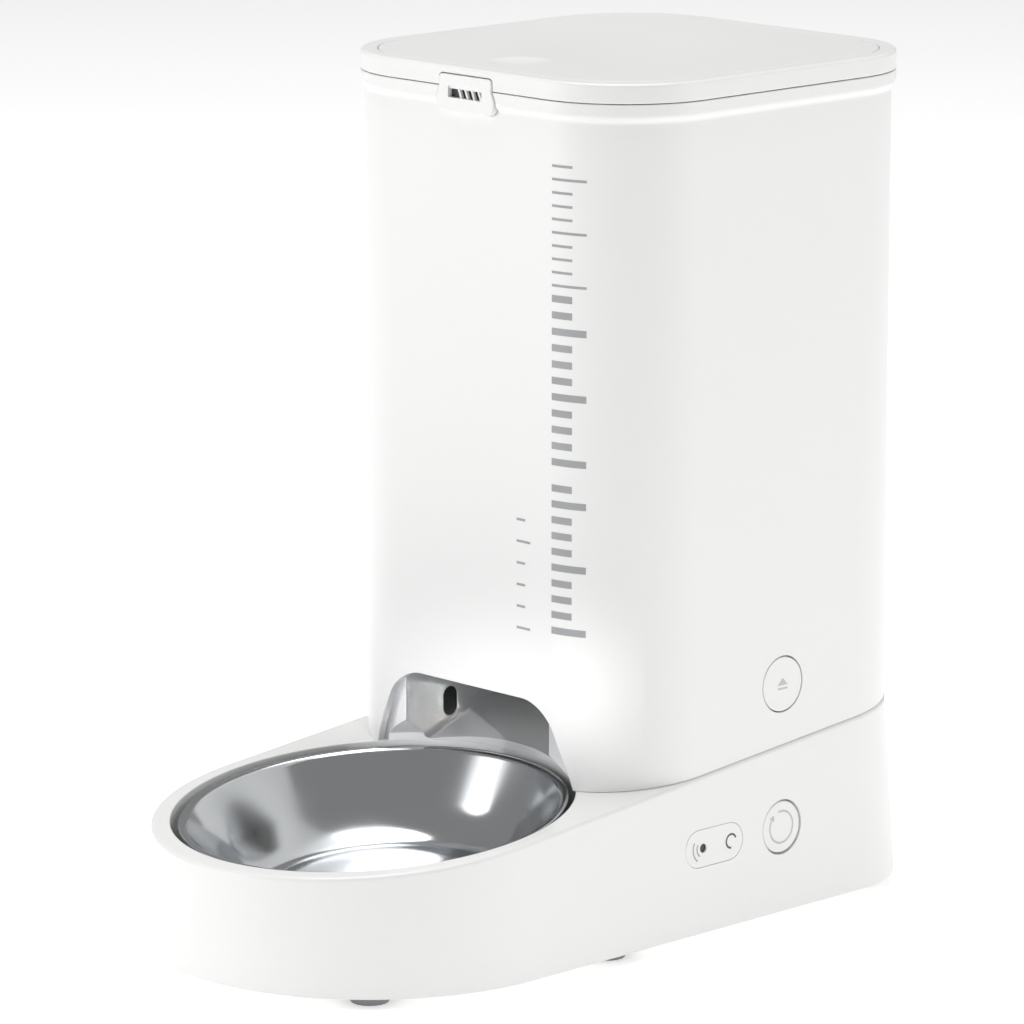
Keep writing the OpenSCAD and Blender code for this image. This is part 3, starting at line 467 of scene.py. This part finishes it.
def boatForm(inset=0.0, drop=0.0, deckDepth=None):
    bm = bmesh.new()
    loops = []
    for level, lower in (("foot", drop), ("top", 0.0)):
        *sizes, height = baseShape[level]
        loops.append(boatRing(bm, *[size - inset for size in sizes], height - lower))
    bridged(bm, loops, closed=False)
    if deckDepth is not None:
        cut = bmesh.ops.bisect_plane(bm, geom=bm.verts[:] + bm.edges[:] + bm.faces[:],
                                     plane_co=Vector((0, 0, baseShape["deckHeight"])) - deckUp * deckDepth,
                                     plane_no=deckUp, clear_outer=True)["geom_cut"]
        bmesh.ops.edgeloop_fill(bm, edges=[e for e in cut if isinstance(e, bmesh.types.BMEdge)])
        bmesh.ops.recalc_face_normals(bm, faces=bm.faces)
    return bm


def belowDeck(height):  # everything under a plane that far above the deck
    form = block((-120, -120, -60), (120, 190, height))
    bmesh.ops.transform(form, matrix=deckFrame, verts=form.verts)
    return form


wellShape = {"radius": 73.7, "depth": 32.5, "wall": 2.0, "edge": 0.5, "steps": 144}
buttonPlaces = {"feed": (61.6, 36.0, 10.0), "release": (62.9, 89.6, 10.3)}  # y, z, radius
buttonGap = 0.4
panelShape = {
    "middle": (25.6, 35.8),
    "half": (15.0, 7.0),
    "gap": 0.12,
    "dot": 19.8,
    "dotRadius": 1.75,
    "ring": 34.5,
}
bossShape = {  # x, y, highest point; then the post's and the screw's radius and lowest point
    "places": ((30, -128, 17.0), (58, 20, 70.0), (48, 132, 90.0)),
    "post": (3.6, 6.2),
    "screw": (1.3, 2, 14.9),
}
gearboxEars = {
    "places": ((26, 36, 90), (26, 114, 90), (-48, 112, 90)),
    "post": (3.4, 48.4),
    "screw": (1.3, 44, 58.2),
}
shaftHole = {"radius": 6.0, "y": 60.7}
inletShape = {"middle": (-36.0, 17.0), "flat": 5.8, "radius": 1.6, "gap": 0.2}
keeperShape = {"x": 74.75, "y": 62.9, "half": (0.75, 7.0), "z": (62.0, 75.5)}
nearlyRound = 0.01  # what a corner's rounding stays under half the width, so that its points don't meet


def capsule(middle, half, x1, x2, grow):
    (y, z), (long, high) = middle, half
    long, high = long + grow, high + grow
    return prism(rectangle(y - long, z - high, y + long, z + high), (high - nearlyRound,) * 4, x2 - x1,
                 facingSide(x1), steps=16)


def buildBase():
    shell = soften(boatForm(deckDepth=0.0), baseShape["deckEdge"], 4, lambda p: abs(aboveDeck(p)) < 0.01)
    shell = carved(shell, boatForm(baseShape["wall"], 1.0, deckDepth=baseShape["wall"]))
    shell = joined(shell, rod(wellShape["radius"] + wellShape["wall"], atBowl(-wellShape["depth"] - 2),
                              atBowl(-1), wellShape["steps"]))
    posts = [(side * x, y, top, bossShape) for x, y, top in bossShape["places"] for side in (-1, 1)]
    posts += [(x, y, top, gearboxEars) for x, y, top in gearboxEars["places"]]
    for x, y, top, shape in posts:
        radius, foot = shape["post"]
        post = rod(radius, (x, y, foot), (x, y, top), 32)
        shell = joined(shell, combined(post, boatForm(0.5, deckDepth=0.6), "INTERSECT"))
    well = rod(wellShape["radius"], atBowl(-wellShape["depth"]), atBowl(30), wellShape["steps"])
    shell = carved(shell, well, rod(shaftHole["radius"], (0, shaftHole["y"], 40), (0, shaftHole["y"], 90)))
    y, z, radius = buttonPlaces["feed"]
    shell = carved(shell, rod(radius + buttonGap, (70, y, z), (90, y, z), 96),
                   capsule(panelShape["middle"], panelShape["half"], 72.4, 90.0, panelShape["gap"]))
    for x, y, top, shape in posts:
        radius, low, high = shape["screw"]
        shell = carved(shell, rod(radius, (x, y, low), (x, y, high), 24))
    x, z = inletShape["middle"]
    high = inletShape["radius"] + inletShape["gap"]
    long = inletShape["flat"] / 2 + inletShape["radius"] + inletShape["gap"]
    inlet = prism(rectangle(x - long, z - high, x + long, z + high), (high - nearlyRound,) * 4, 40,
                  facingFront(170))
    shell = carved(shell, inlet)
    wellCentre = atBowl(0)

    def onWellRim(p):
        return abs(aboveDeck(p)) < 0.02 and abs((p - wellCentre).length - wellShape["radius"]) < 0.5

    def onSideHole(p):
        y, z, radius = buttonPlaces["feed"]
        nearButton = math.hypot(p.y - y, p.z - z) < radius + 1
        nearPanel = all(abs(a - middle) < half + 1 for a, middle, half
                        in zip(p.yz, panelShape["middle"], panelShape["half"]))
        return p.x > 79 and (nearButton or nearPanel)

    shell = soften(shell, wellShape["edge"], 3, onWellRim)
    shell = soften(shell, 0.2, 2, onSideHole)
    for side in (-1, 1):
        (hx, hy), (z1, z2) = keeperShape["half"], keeperShape["z"]
        keeper = block((side * keeperShape["x"] - hx, keeperShape["y"] - hy, z1),
                       (side * keeperShape["x"] + hx, keeperShape["y"] + hy, z2))
        shell = joined(shell, soften(keeper, 0.4, 2, lambda p: p.z > 64))
    return shell


makePiece("baseShell", buildBase(), finishes["mouldedWhiteAbs"], "base", "white_abs", "base_shell")


# Tower casing: a tall rounded box with a collar, an arch for the chute and hinge ears at the back

towerShape = {
    "middle": (0.0, 60.7),
    "half": (78.9, 80.8),
    "corner": 38.9,
    "wall": 3.0,
    "collarFoot": 304.9,
    "step": 1.8,
    "top": 309.8,
    "cove": 1.7,
    "foot": 50.0,
    "seam": 0.2,
}
archShape = {
    "topHalf": 38.54,
    "top": 89.3,
    "footHalf": 53.0,
    "shoulder": 58.0,
    "round": 11.5,
    "flare": 8.0,
    "lip": 0.5,
}
hingeShape = {"y": 147.0, "z": 306.6, "pin": 1.5, "knuckle": 3.4, "half": 20.0, "ears": (20.3, 26.0)}
latchShape = {
    "top": 314.3,
    "waist": 309.6,
    "low": 301.2,
    "half": 13.5,
    "lowHalf": 15.0,
    "front": -22.5,
    "back": -20.1,
    "slotHalf": 8.75,
    "slot": (306.0, 310.3),
    "ribs": 4,
    "ribPitch": 3.4,
    "gap": 0.45,
    "pin": (-19.9, 312.4),
    "corners": (1.8, 0, 0, 3.0, 3.0, 0, 0, 1.8),
}


def grown(amount):
    (hx, hy) = towerShape["half"]
    return (hx + amount, hy + amount), towerShape["corner"] + amount


def archPrism(grow, y1, y2):
    top, shoulder, foot = archShape["top"] + grow, archShape["shoulder"], archShape["footHalf"] + grow
    points = ((-foot, 45), (foot, 45), (foot, shoulder), (archShape["topHalf"] + grow * 0.7, top),
              (-archShape["topHalf"] - grow * 0.7, top), (-foot, shoulder))
    flare, curve = archShape["flare"], archShape["round"]
    return prism(points, (0, 0, flare, curve, curve, flare), y2 - y1, facingFront(y2), steps=16)


def latchOutline(grow):
    half, low = latchShape["half"] + grow, latchShape["lowHalf"] + grow
    top, waist, foot = latchShape["top"] + grow, latchShape["waist"], latchShape["low"] - grow
    flare, taper = 3.4, 0.6  # height over which the waist widens, and how much the foot narrows
    return ((-half, top), (-half, waist), (-low, waist - flare), (-low + taper, foot), (low - taper, foot),
            (low, waist - flare), (half, waist), (half, top))


def ear(x1, x2):
    y, z, knuckle = hingeShape["y"], hingeShape["z"], hingeShape["knuckle"]
    wallY = towerShape["middle"][1] + towerShape["half"][1]
    arm = block((x1, wallY - 1, z - knuckle), (x2, y, z + knuckle - 0.6))
    return joined(rod(knuckle, (x1, y, z), (x2, y, z), 48), arm)


def buildTower():
    foot, top, cove = towerShape["foot"], towerShape["top"], towerShape["collarFoot"]
    step, wall = towerShape["step"], towerShape["wall"]
    levels = ((0, foot), (0, cove - towerShape["cove"]), (step, cove), (step, top), (-wall, top),
              (-wall, foot))
    shell = stacked(towerShape["middle"], [(*grown(grow), height) for grow, height in levels], closed=True)

    def onOuterTop(p):
        return p.z > top - 0.1 and not inTower(p, -1.0)

    shell = soften(shell, 0.9, 4, lambda p: cove - 2.5 < p.z < cove + 0.2, turn=0.2)
    shell = soften(shell, 0.35, 3, onOuterTop)
    shell = carved(shell, belowDeck(towerShape["seam"]), archPrism(0.0, -40, 0))
    y, z, radius = buttonPlaces["release"]
    shell = carved(shell, rod(radius + buttonGap, (-90, y, z), (90, y, z), 96))

    def onArch(p):
        inArch = p.z < archShape["top"] + 1 and abs(p.x) < archShape["footHalf"] + 1
        return p.y < -6 and inArch and aboveDeck(p) > 0.5

    def onButtonHole(p):
        return abs(math.hypot(p.y - y, p.z - z) - radius - buttonGap) < 0.05 and abs(p.x) > 78.5

    def onFoot(p):
        return abs(aboveDeck(p) - towerShape["seam"]) < 0.02 and not inTower(p, -1.0)

    shell = soften(shell, archShape["lip"], 3, onArch, turn=0.9)
    shell = soften(soften(shell, 0.25, 2, onButtonHole), 0.25, 2, onFoot)
    shell = carved(shell, prism(latchOutline(latchShape["gap"]), latchShape["corners"], 8.0,
                                facingFront(latchShape["back"] + 0.35)))
    near, far = hingeShape["ears"]
    shell = joined(shell, gathered(ear(near, far), ear(-far, -near)))
    y, z = hingeShape["y"], hingeShape["z"]
    return carved(shell, rod(hingeShape["pin"], (-30, y, z), (30, y, z), 32))


def inTower(p, grow):  # is a point inside the tower's outline, taken out by grow
    (hx, hy), corner = grown(grow)
    x, y = abs(p.x) - hx + corner, abs(p.y - towerShape["middle"][1]) - hy + corner
    return math.hypot(max(x, 0), max(y, 0)) + min(max(x, y), 0) < corner


makePiece("towerShell", buildTower(), finishes["mouldedWhiteAbs"], "tower", "white_abs", "tower_shell")


# Lid: a shallow rounded cap with a recessed panel, a locating rim and hinge knuckles

lidShape = {
    "bottom": 310.1,
    "top": 317.2,
    "web": 313.2,
    "recess": 315.4,
    "edge": 1.3,
    "panel": ((74.0, 76.0), 34.0),
    "panelGap": 0.35,
    "plug": ((71.2, 73.1), 31.0),
    "plugWall": 2.0,
    "plugFoot": 305.5,
    "dimple": (5.0, 60.0, 1.1),  # y, radius of its curve, depth
    "notchBack": -17.6,
}


def resized(shape, amount):
    (hx, hy), corner = shape
    return (hx + amount, hy + amount), corner + amount


def buildLid():
    bottom, top, web, plugFoot = (lidShape[key] for key in ("bottom", "top", "web", "plugFoot"))
    outer, inner = grown(towerShape["step"]), grown(towerShape["step"] - towerShape["wall"])
    plug, bore = lidShape["plug"], resized(lidShape["plug"], -lidShape["plugWall"])
    well = resized(lidShape["panel"], lidShape["panelGap"])
    levels = ((well, lidShape["recess"]), (well, top), (outer, top), (outer, bottom), (inner, bottom),
              (inner, web), (plug, web), (plug, plugFoot), (bore, plugFoot), (bore, web))
    lid = stacked(towerShape["middle"], [(*outline, height) for outline, height in levels])
    lid = soften(lid, lidShape["edge"], 5, lambda p: p.z > top - 0.1 and not inTower(p, 0.5))
    lid = soften(lid, 0.3, 2, lambda p: p.z > top - 0.1 and inTower(p, -2.0))
    lid = soften(lid, 0.5, 3, lambda p: abs(p.z - bottom) < 0.1 and not inTower(p, 0.5))
    lid = soften(lid, 0.5, 2, lambda p: p.z < plugFoot + 0.1)
    lid = carved(lid, prism(latchOutline(latchShape["gap"]), latchShape["corners"], 8.0,
                            facingFront(lidShape["notchBack"])))
    y, z, knuckle, half = hingeShape["y"], hingeShape["z"], hingeShape["knuckle"], hingeShape["half"]
    rear = towerShape["middle"][1] + grown(towerShape["step"])[0][1]
    strap = joined(block((-half, y - 2.2, z), (half, y + 2.2, z + 6.6)),
                   block((-half, rear - 4, bottom + 0.2), (half, y + 1.5, bottom + 3.1)))
    strap = soften(strap, 1.0, 3, lambda p: p.y > y + 1 and p.z > z + 6)
    lid = joined(lid, joined(rod(knuckle, (-half, y, z), (half, y, z), 48), strap))
    return carved(lid, rod(hingeShape["pin"] + 0.05, (-30, y, z), (30, y, z), 32),
                  rod(0.75, (-16.6, *latchShape["pin"]), (16.6, *latchShape["pin"]), 24))


def buildPanel():
    y, radius, depth = lidShape["dimple"]
    panel = stacked(towerShape["middle"], ((*lidShape["panel"], lidShape["recess"]),
                                           (*lidShape["panel"], lidShape["top"])))
    panel = soften(panel, 0.35, 3, lambda p: p.z > lidShape["top"] - 0.1)
    ball = bmesh.new()
    bmesh.ops.create_uvsphere(ball, u_segments=96, v_segments=128, radius=radius,
                              matrix=Matrix.Translation((0, y, lidShape["top"] + radius - depth)))
    panel = carved(panel, ball)

    def onDimple(p):
        return abs(p.z - lidShape["top"]) < 0.02 and math.hypot(p.x, p.y - y) < 12

    return soften(panel, 1.2, 4, onDimple, turn=0.1)


makePiece("lidShell", buildLid(), finishes["mouldedWhiteAbs"], "lid", "white_abs", "lid_shell")
makePiece("lidPanel", buildPanel(), finishes["mouldedWhiteAbs"], "lid", "white_abs", "lid_panel")


# Latch: a plate that pivots in the lid, with a finger slot and slanted ribs

def buildLatch():
    front, back = latchShape["front"], latchShape["back"]
    plate = prism(latchOutline(0.0), (1.6, 0, 0, 2.6, 2.6, 0, 0, 1.6), back - front, facingFront(back))
    plate = soften(plate, 0.45, 3, lambda p: p.y < front + 0.05)
    plate = joined(plate, rod(1.6, (-13.3, *latchShape["pin"]), (13.3, *latchShape["pin"]), 32))
    half, (low, high) = latchShape["slotHalf"], latchShape["slot"]
    plate = carved(plate, prism(rectangle(-half, low, half, high), (0.5,) * 4, 6.0, facingFront(back + 1.0),
                                steps=4))
    for i in range(latchShape["ribs"]):
        x = -half + 3.9 + i * latchShape["ribPitch"]
        points = ((x, high + 0.2), (x + 0.9, high + 0.2), (x + 2.9, low - 0.2), (x + 2.0, low - 0.2))
        plate = joined(plate, prism(points, (0,) * 4, 1.2, facingFront(back - 0.5)))
    return joined(plate, block((-half - 0.2, back - 1.6, high - 1.1), (half + 0.2, back - 0.4, high + 0.2)))


def buildPaintedSlotShade():  # dark plate behind the finger slot, painted shade standing in for the shadow inside the slot
    half, (low, high), back = latchShape["slotHalf"], latchShape["slot"], latchShape["back"]
    return block((-half + 0.05, back - 0.35, low + 0.05), (half - 0.05, back - 0.05, high - 0.05))


makePiece("lidLatch", buildLatch(), finishes["mouldedWhiteAbs"], "latch", "white_abs", "lid_latch")
# painted shade: a dark plate where the latch's finger slot has only shadow
makePiece("latchSlotPaintedShade", buildPaintedSlotShade(), finishes["darkAbsAndPaintedShade"], "latch", "dark_plastic")


# Bowl: thin steel sheet spun to shape, with a flat rim below the deck

bowlShape = {
    "sink": 1.1,
    "rim": (69.0, 71.15),
    "rimTop": 0.5,
    "sheet": 0.9,
    "slope": 0.7,
    "bend": (18.0, 7.4),  # depth where the wall starts to bend, and how far the bend reaches over the floor
    "floor": 30.0,
    "steps": 192,
}


def eased(start, corner, end, steps):  # points of a smooth bend that starts towards the corner
    points = []
    for i in range(steps + 1):
        t = i / steps
        points.append(tuple(a * (1 - t) ** 2 + 2 * b * t * (1 - t) + c * t ** 2
                            for a, b, c in zip(start, corner, end)))
    return points


def spun(points, origin, axis, steps):  # solid of revolution from (radius, height) points
    bm = bmesh.new()
    profile = [bmesh.ops.create_vert(bm, co=origin + Vector((1, 0, 0)) * radius + axis * height)["vert"][0]
               for radius, height in points]
    for pair in zip(profile, profile[1:]):
        bmesh.ops.contextual_create(bm, geom=pair)
    bmesh.ops.spin(bm, geom=bm.verts[:] + bm.edges[:], cent=origin, axis=axis, angle=2 * math.pi,
                   steps=steps, use_merge=True)
    bmesh.ops.remove_doubles(bm, verts=bm.verts, dist=0.002)
    bmesh.ops.recalc_face_normals(bm, faces=bm.faces)
    return bm


def buildBowl():
    inner, outer = bowlShape["rim"]
    top, sheet, slope, floor = (bowlShape[key] for key in ("rimTop", "sheet", "slope", "floor"))
    start, reach = bowlShape["bend"]
    corner = inner - slope * floor
    wall = [(inner - slope * 2.0, -2.0), (inner - slope * start, -start)]
    inside = [(0.0, -floor)] + eased((corner - reach, -floor), (corner, -floor), wall[1], 14)
    inside += eased(wall[0], (inner - 0.3, -top), (inner + 0.9, -top), 6)
    roll = eased((outer - sheet / 2, -top), (outer + 0.12, -top - sheet / 2),
                 (outer - sheet / 2, -top - sheet), 8)
    outside = [(radius + sheet, height - sheet) for radius, height in reversed(inside[1:-5])]
    profile = inside + roll + [(inner + 1.0, -top - sheet)] + outside + [(0.0, -floor - sheet)]
    return spun(profile, atBowl(-bowlShape["sink"]), deckUp, bowlShape["steps"])


makePiece("steelBowl", buildBowl(), spunSteel(), "bowl", "bowl_steel", "bowl")


# Chute: a silvered channel that slopes down to the bowl, and a curved plate behind the arch

chuteShape = {
    "half": 38.0,
    "sheet": 2.0,
    "corner": 3.0,
    "lip": (2.8, 64.0),  # y and height of the channel floor at its front
    "rise": 0.39,
    "back": 49.0,
    "top": 91.5,
    "clearOfBowl": 72.3,
    "undercut": (3.0, 1.1),  # height where the front starts to lean out, and how far for each mm of height
    "sensor": (5.8, 70.4, 74.6, 3.5),
    "plate": (3.3, 15.0),  # depth of the front block's faces inside the tower's outer skin
}


def towerForm(grow, low, high):
    (hx, hy), corner = grown(grow)
    return stacked(towerShape["middle"], (((hx, hy), corner, low), ((hx, hy), corner, high)))


def channel(grow, low, high, y1, y2):
    half, corner = chuteShape["half"] + grow, chuteShape["corner"] + grow
    lipY, lipZ = chuteShape["lip"]
    form = prism(rectangle(-half, lipZ - low, half, high), (corner, corner, 0, 0), y2 - y1,
                 facingFront(y2), steps=14)
    lean = Matrix.Identity(4)
    lean[2][1] = chuteShape["rise"]
    lean[2][3] = -chuteShape["rise"] * lipY
    bmesh.ops.transform(form, matrix=lean, verts=form.verts)
    return form


def sensorSlot(extra):
    y, low, high, radius = chuteShape["sensor"]
    radius += extra
    outline = rectangle(y - radius, low - radius, y + radius, high + radius)
    return prism(outline, (radius - nearlyRound,) * 4, 90.0, facingSide(-45.0), steps=12)


def bowlPath():  # what the rim needs to come out: straight up at first, then leaning forwards
    radius, (low, lean) = chuteShape["clearOfBowl"], chuteShape["undercut"]
    path = rod(radius, atBowl(low - 0.01), atBowl(60), 144)
    shear = Matrix.Identity(4)
    shear[1][2] = -lean
    place = Matrix.Translation(atBowl(low)) @ deckTurn
    bmesh.ops.transform(path, matrix=place @ shear @ place.inverted(), verts=path.verts)
    return joined(rod(radius, atBowl(-20), atBowl(low), 144), path)


def buildChute():
    (skin, back), sheet, top = chuteShape["plate"], chuteShape["sheet"], chuteShape["top"]
    front = towerShape["middle"][1] - towerShape["half"][1] + skin
    liner = channel(sheet, 8.0, 160.0, front + 0.2, chuteShape["back"])
    plate = combined(towerForm(-skin, 50, top), archPrism(0.8, -30, 10), "INTERSECT")
    liner = joined(liner, carved(plate, towerForm(-back, 40, 120)))
    inside = channel(0.0, 0.0, 200.0, -40.0, 90.0)
    underside = channel(sheet + 20, 30.0, chuteShape["lip"][1] - sheet, 14.0, 90.0)
    above = block((-60, -40, top), (60, 90, 260))
    liner = carved(liner, inside, above, underside, belowDeck(0.1), bowlPath())

    def onFront(p):
        return p.y < 4 and aboveDeck(p) > 0.6 and abs(p.x) < 48 and p.z < top - 1

    liner = soften(liner, 0.6, 3, onFront)
    return carved(liner, sensorSlot(0.1))


makePiece("chuteLiner", buildChute(), silveredChute(), "base", "chute_silver", "chute_liner")


# Buttons and the small signs on them

feedSign = {"radius": 6.0, "line": 0.75, "start": 105.0, "sweep": -318.0, "arrow": 1.5}
panelSigns = {"arcs": (3.3, 5.3), "arcLine": 0.55, "arcStart": 150.0, "arcSweep": 85.0,
              "ring": 2.55, "ringLine": 0.75, "ringStart": 20.0, "ringSweep": 250.0}
releaseSign = {"half": 2.6, "rise": 2.4, "bar": 0.7}
inkDepth = 0.04


def curvedBar(y, z, radius, line, x1, x2, start, sweep, steps=48):
    bm = bmesh.new()
    out = Vector((0, math.cos(math.radians(start)), math.sin(math.radians(start))))
    across = Vector((1, 0, 0))
    place = Matrix.Translation(Vector(((x1 + x2) / 2, y, z)) + out * radius)
    turn = Matrix((across, out, across.cross(out))).transposed().to_4x4()
    bmesh.ops.create_grid(bm, x_segments=1, y_segments=1, size=0.5,
                          matrix=place @ turn @ Matrix.Diagonal((x2 - x1, line, 1, 1)))
    bmesh.ops.spin(bm, geom=bm.verts[:] + bm.edges[:] + bm.faces[:], cent=(0, y, z), axis=across,
                   angle=math.radians(sweep), steps=steps)
    bmesh.ops.recalc_face_normals(bm, faces=bm.faces)
    return bm


def sidePrism(points, x1, x2):  # outline of (y, z) points, facing +X
    return prism(points, (0,) * len(points), x2 - x1, facingSide(x1))


def mirrored(bm):
    bmesh.ops.scale(bm, vec=(-1, 1, 1), verts=bm.verts)
    bmesh.ops.recalc_face_normals(bm, faces=bm.faces)
    return bm


def buildFeedButton():
    y, z, radius = buttonPlaces["feed"]
    cap = soften(rod(radius - 0.3, (75.2, y, z), (80.1, y, z), 128), 0.5, 4, lambda p: p.x > 80.0)
    return joined(cap, rod(radius + 1.4, (75.2, y, z), (77, y, z), 96),
                  rod(2.6, (72.9, y, z), (75.3, y, z), 32))


def buildReleaseButton(side):
    y, z, radius = buttonPlaces["release"]
    face = towerShape["half"][0]
    cap = soften(rod(radius - 0.15, (73.6, y, z), (face, y, z), 128), 0.4, 4,
                 lambda p: p.x > face - 0.1)
    cap = joined(cap, rod(radius + 1.3, (73.6, y, z), (75.6, y, z), 96),
                 rod(2.8, (68.5, y, z), (73.7, y, z), 32),
                 block((71.4, y - 5, 70.4), (73.6, y + 5, 80.4)),
                 block((71.4, y - 5, 70.4), (73.7, y + 5, 72.0)))
    return mirrored(cap) if side < 0 else cap


def buildFeedSign():
    y, z = buttonPlaces["feed"][:2]
    low, high = 79.9, 80.1 + inkDepth
    sign, arrow = feedSign, feedSign["arrow"]
    ring = curvedBar(y, z, sign["radius"], sign["line"], low, high, sign["start"], sign["sweep"], 96)
    angle = math.radians(sign["start"] + sign["sweep"])
    out, along = Vector((math.cos(angle), math.sin(angle))), Vector((math.sin(angle), -math.cos(angle)))
    tip = Vector((y, z)) + out * sign["radius"]
    points = [tuple(tip + along * arrow * 1.3), tuple(tip + out * arrow), tuple(tip - out * arrow)]
    return joined(ring, sidePrism(points, low, high))


def buildPanelSigns():
    y, z, signs = panelShape["dot"], panelShape["middle"][1], panelSigns
    arcs = [curvedBar(y, z, radius, signs["arcLine"], 79.0, 82.0, signs["arcStart"], signs["arcSweep"])
            for radius in signs["arcs"]]
    return combined(gathered(*arcs), boatForm(0.1 - inkDepth), "INTERSECT")


def buildPanelRing():
    signs, z = panelSigns, panelShape["middle"][1]
    ring = curvedBar(panelShape["ring"], z, signs["ring"], signs["ringLine"], 79.0, 82.0,
                     signs["ringStart"], signs["ringSweep"])
    return combined(ring, boatForm(0.1 - inkDepth), "INTERSECT")


def buildReleaseSign(side):  # lift sign: a triangle over a bar
    y, z = buttonPlaces["release"][:2]
    half, rise, bar = (releaseSign[key] for key in ("half", "rise", "bar"))
    low, high = towerShape["half"][0] - 0.2, towerShape["half"][0] + inkDepth
    triangle = (y - half, z - 0.4), (y + half, z - 0.4), (y, z + rise)
    sign = gathered(sidePrism(triangle, low, high),
                    sidePrism(rectangle(y - half, z - 2.0, y + half, z - 2.0 + bar), low, high))
    return mirrored(sign) if side < 0 else sign


def buildPanelFace():
    z, dot = panelShape["middle"][1], panelShape["dot"]
    face = combined(capsule(panelShape["middle"], panelShape["half"], 77.0, 90.0, 0.0), boatForm(0.1),
                    "INTERSECT")
    face = soften(face, 0.25, 3, lambda p: p.x > 79.3)
    return carved(face, rod(panelShape["dotRadius"], (70, dot, z), (90, dot, z), 64))


makePiece("feedButton", buildFeedButton(), finishes["mouldedWhiteAbs"], "feed_button", "white_abs",
          "feed_button")
makePiece("feedSign", buildFeedSign(), finishes["palePrintInk"], "feed_button", "white_abs")
makePiece("panelFace", buildPanelFace(), finishes["mouldedWhiteAbs"], "base", "white_abs", "status_panel")
makePiece("panelArcs", buildPanelSigns(), finishes["screenPrintInk"], "base", "white_abs")
makePiece("panelRing", buildPanelRing(), finishes["darkPrintInk"], "base", "white_abs")
for name, side in (("Right", 1), ("Left", -1)):
    body = "release_" + name.lower()
    makePiece("releaseButton" + name, buildReleaseButton(side), finishes["mouldedWhiteAbs"], body,
              "white_abs", "release_button_" + name.lower())
    makePiece("releaseSign" + name, buildReleaseSign(side), finishes["palePrintInk"], body, "white_abs")


# Printed level marks on the front of the tower

levelMarks = {  # x of the middle, width, lowest, highest, pitch, line
    "fine": (49.4, 14.0, 243.0, 287.0, 4.4, 0.95),
    "bold": (49.4, 14.0, 178.0, 240.0, 5.6, 2.6),
    "low": (49.4, 14.0, 116.0, 171.0, 5.6, 2.6),
    "small": (28.0, 7.0, 115.0, 156.0, 7.4, 0.9),
}


def buildLevelMarks():
    lines = []
    for x, width, low, high, pitch, line in levelMarks.values():
        count = int((high - low - line) / pitch) + 1
        for i in range(count):
            reach = width / 2 if i % 4 == 0 else width / 3.2
            z = low + i * (high - low - line) / (count - 1)
            lines.append(block((x - width / 2, -60, z), (x - width / 2 + 2 * reach, 30, z + line)))
    marks = combined(gathered(*lines), towerForm(inkDepth, 60, 300), "INTERSECT")
    return carved(marks, towerForm(-0.3, 50, 310))


makePiece("levelMarks", buildLevelMarks(), finishes["screenPrintInk"], "tower", "white_abs")


# Coil springs behind the buttons, remade from the CAD coils

springSeats = {  # CAD spring: piece, body, joint, then travel and x of its fixed end in mm
    "feed_spring": ("feedSpring", "base", "feed_press", 1.5, 66.1),
    "release_spring_right": ("releaseSpringRight", "tower", "release_right_press", 3.0, 65.1),
    "release_spring_left": ("releaseSpringLeft", "tower", "release_left_press", 3.0, -65.1),
}
for node, (springName, body, joint, travel, seat) in springSeats.items():
    coil = bmesh.new()
    coil.from_mesh(frame["nodes"][node].data)
    bmesh.ops.scale(coil, vec=(thousand,) * 3, verts=coil.verts)
    spring = makePiece(springName, coil, finishes["oiledSpringSteel"], body, "spring_steel", node,
                       evenShading=False)
    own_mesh(spring)


# Finishes of the CAD parts that stay as they are

slotFinishes = {
    "white_abs": "mouldedWhiteAbs",
    "white_inner": "waxyPolypropylene",
    "grey_rubber": "dullGreyRubber",
    "silicone": "milkySilicone",
    "acetal": "slipperyAcetal",
    "dark_plastic": "darkAbsAndPaintedShade",
    "black_window": "smokedAcrylic",
    "zinc_steel": "cloudyZincSteel",
    "spring_steel": "oiledSpringSteel",
    "brass": "turnedBrass",
    "cell_jacket": "shrinkSleeve",
    "drying_felt": "dryingFelt",
    "board_green": "greenCircuitLaminate",
    "bowl_steel": "spunStainlessSteel",
    "chute_silver": "silverLacqueredAbs",
}
circuitLaminate()
for entry in frame["record"]["subparts"]:
    node = frame["nodes"][entry["node"]]
    for place in node.material_slots:
        place.material = bpy.data.materials[slotFinishes[entry["material_slot"]]]
print("finished", len(frame["nodes"]), "CAD parts")


# Studio floor

floorShape = {"half": 16.0, "colour": "#f6f6f6", "glow": 0.42}


def paintedFloor():  # matt white studio floor, faintly lit from within so that it stays pale far away
    material, shader = newFinish("mattStudioFloor", floorShape["colour"],
                                 Emission_Strength=floorShape["glow"], Specular_IOR_Level=0.1)
    shader.inputs["Emission Color"].default_value = (1.0, 1.0, 1.0, 1.0)
    addVariation(material, shader, 8.0, 0.02, 600.0, ("#f7f7f7", "#f5f5f5"), (0.85, 0.95))
    return material


floorMesh = bmesh.new()
bmesh.ops.create_grid(floorMesh, x_segments=1, y_segments=1, size=floorShape["half"])
floorData = bpy.data.meshes.new("studioFloor")
floorMesh.to_mesh(floorData)
floorMesh.free()
floorData.materials.append(paintedFloor())
studioFloor = bpy.data.objects.new("studioFloor", floorData)
bpy.context.scene.collection.objects.link(studioFloor)
studioFloor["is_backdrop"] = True

size = {"cad": [list(corner) for corner in cadBounds], "visual": [list(corner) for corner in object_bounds()]}
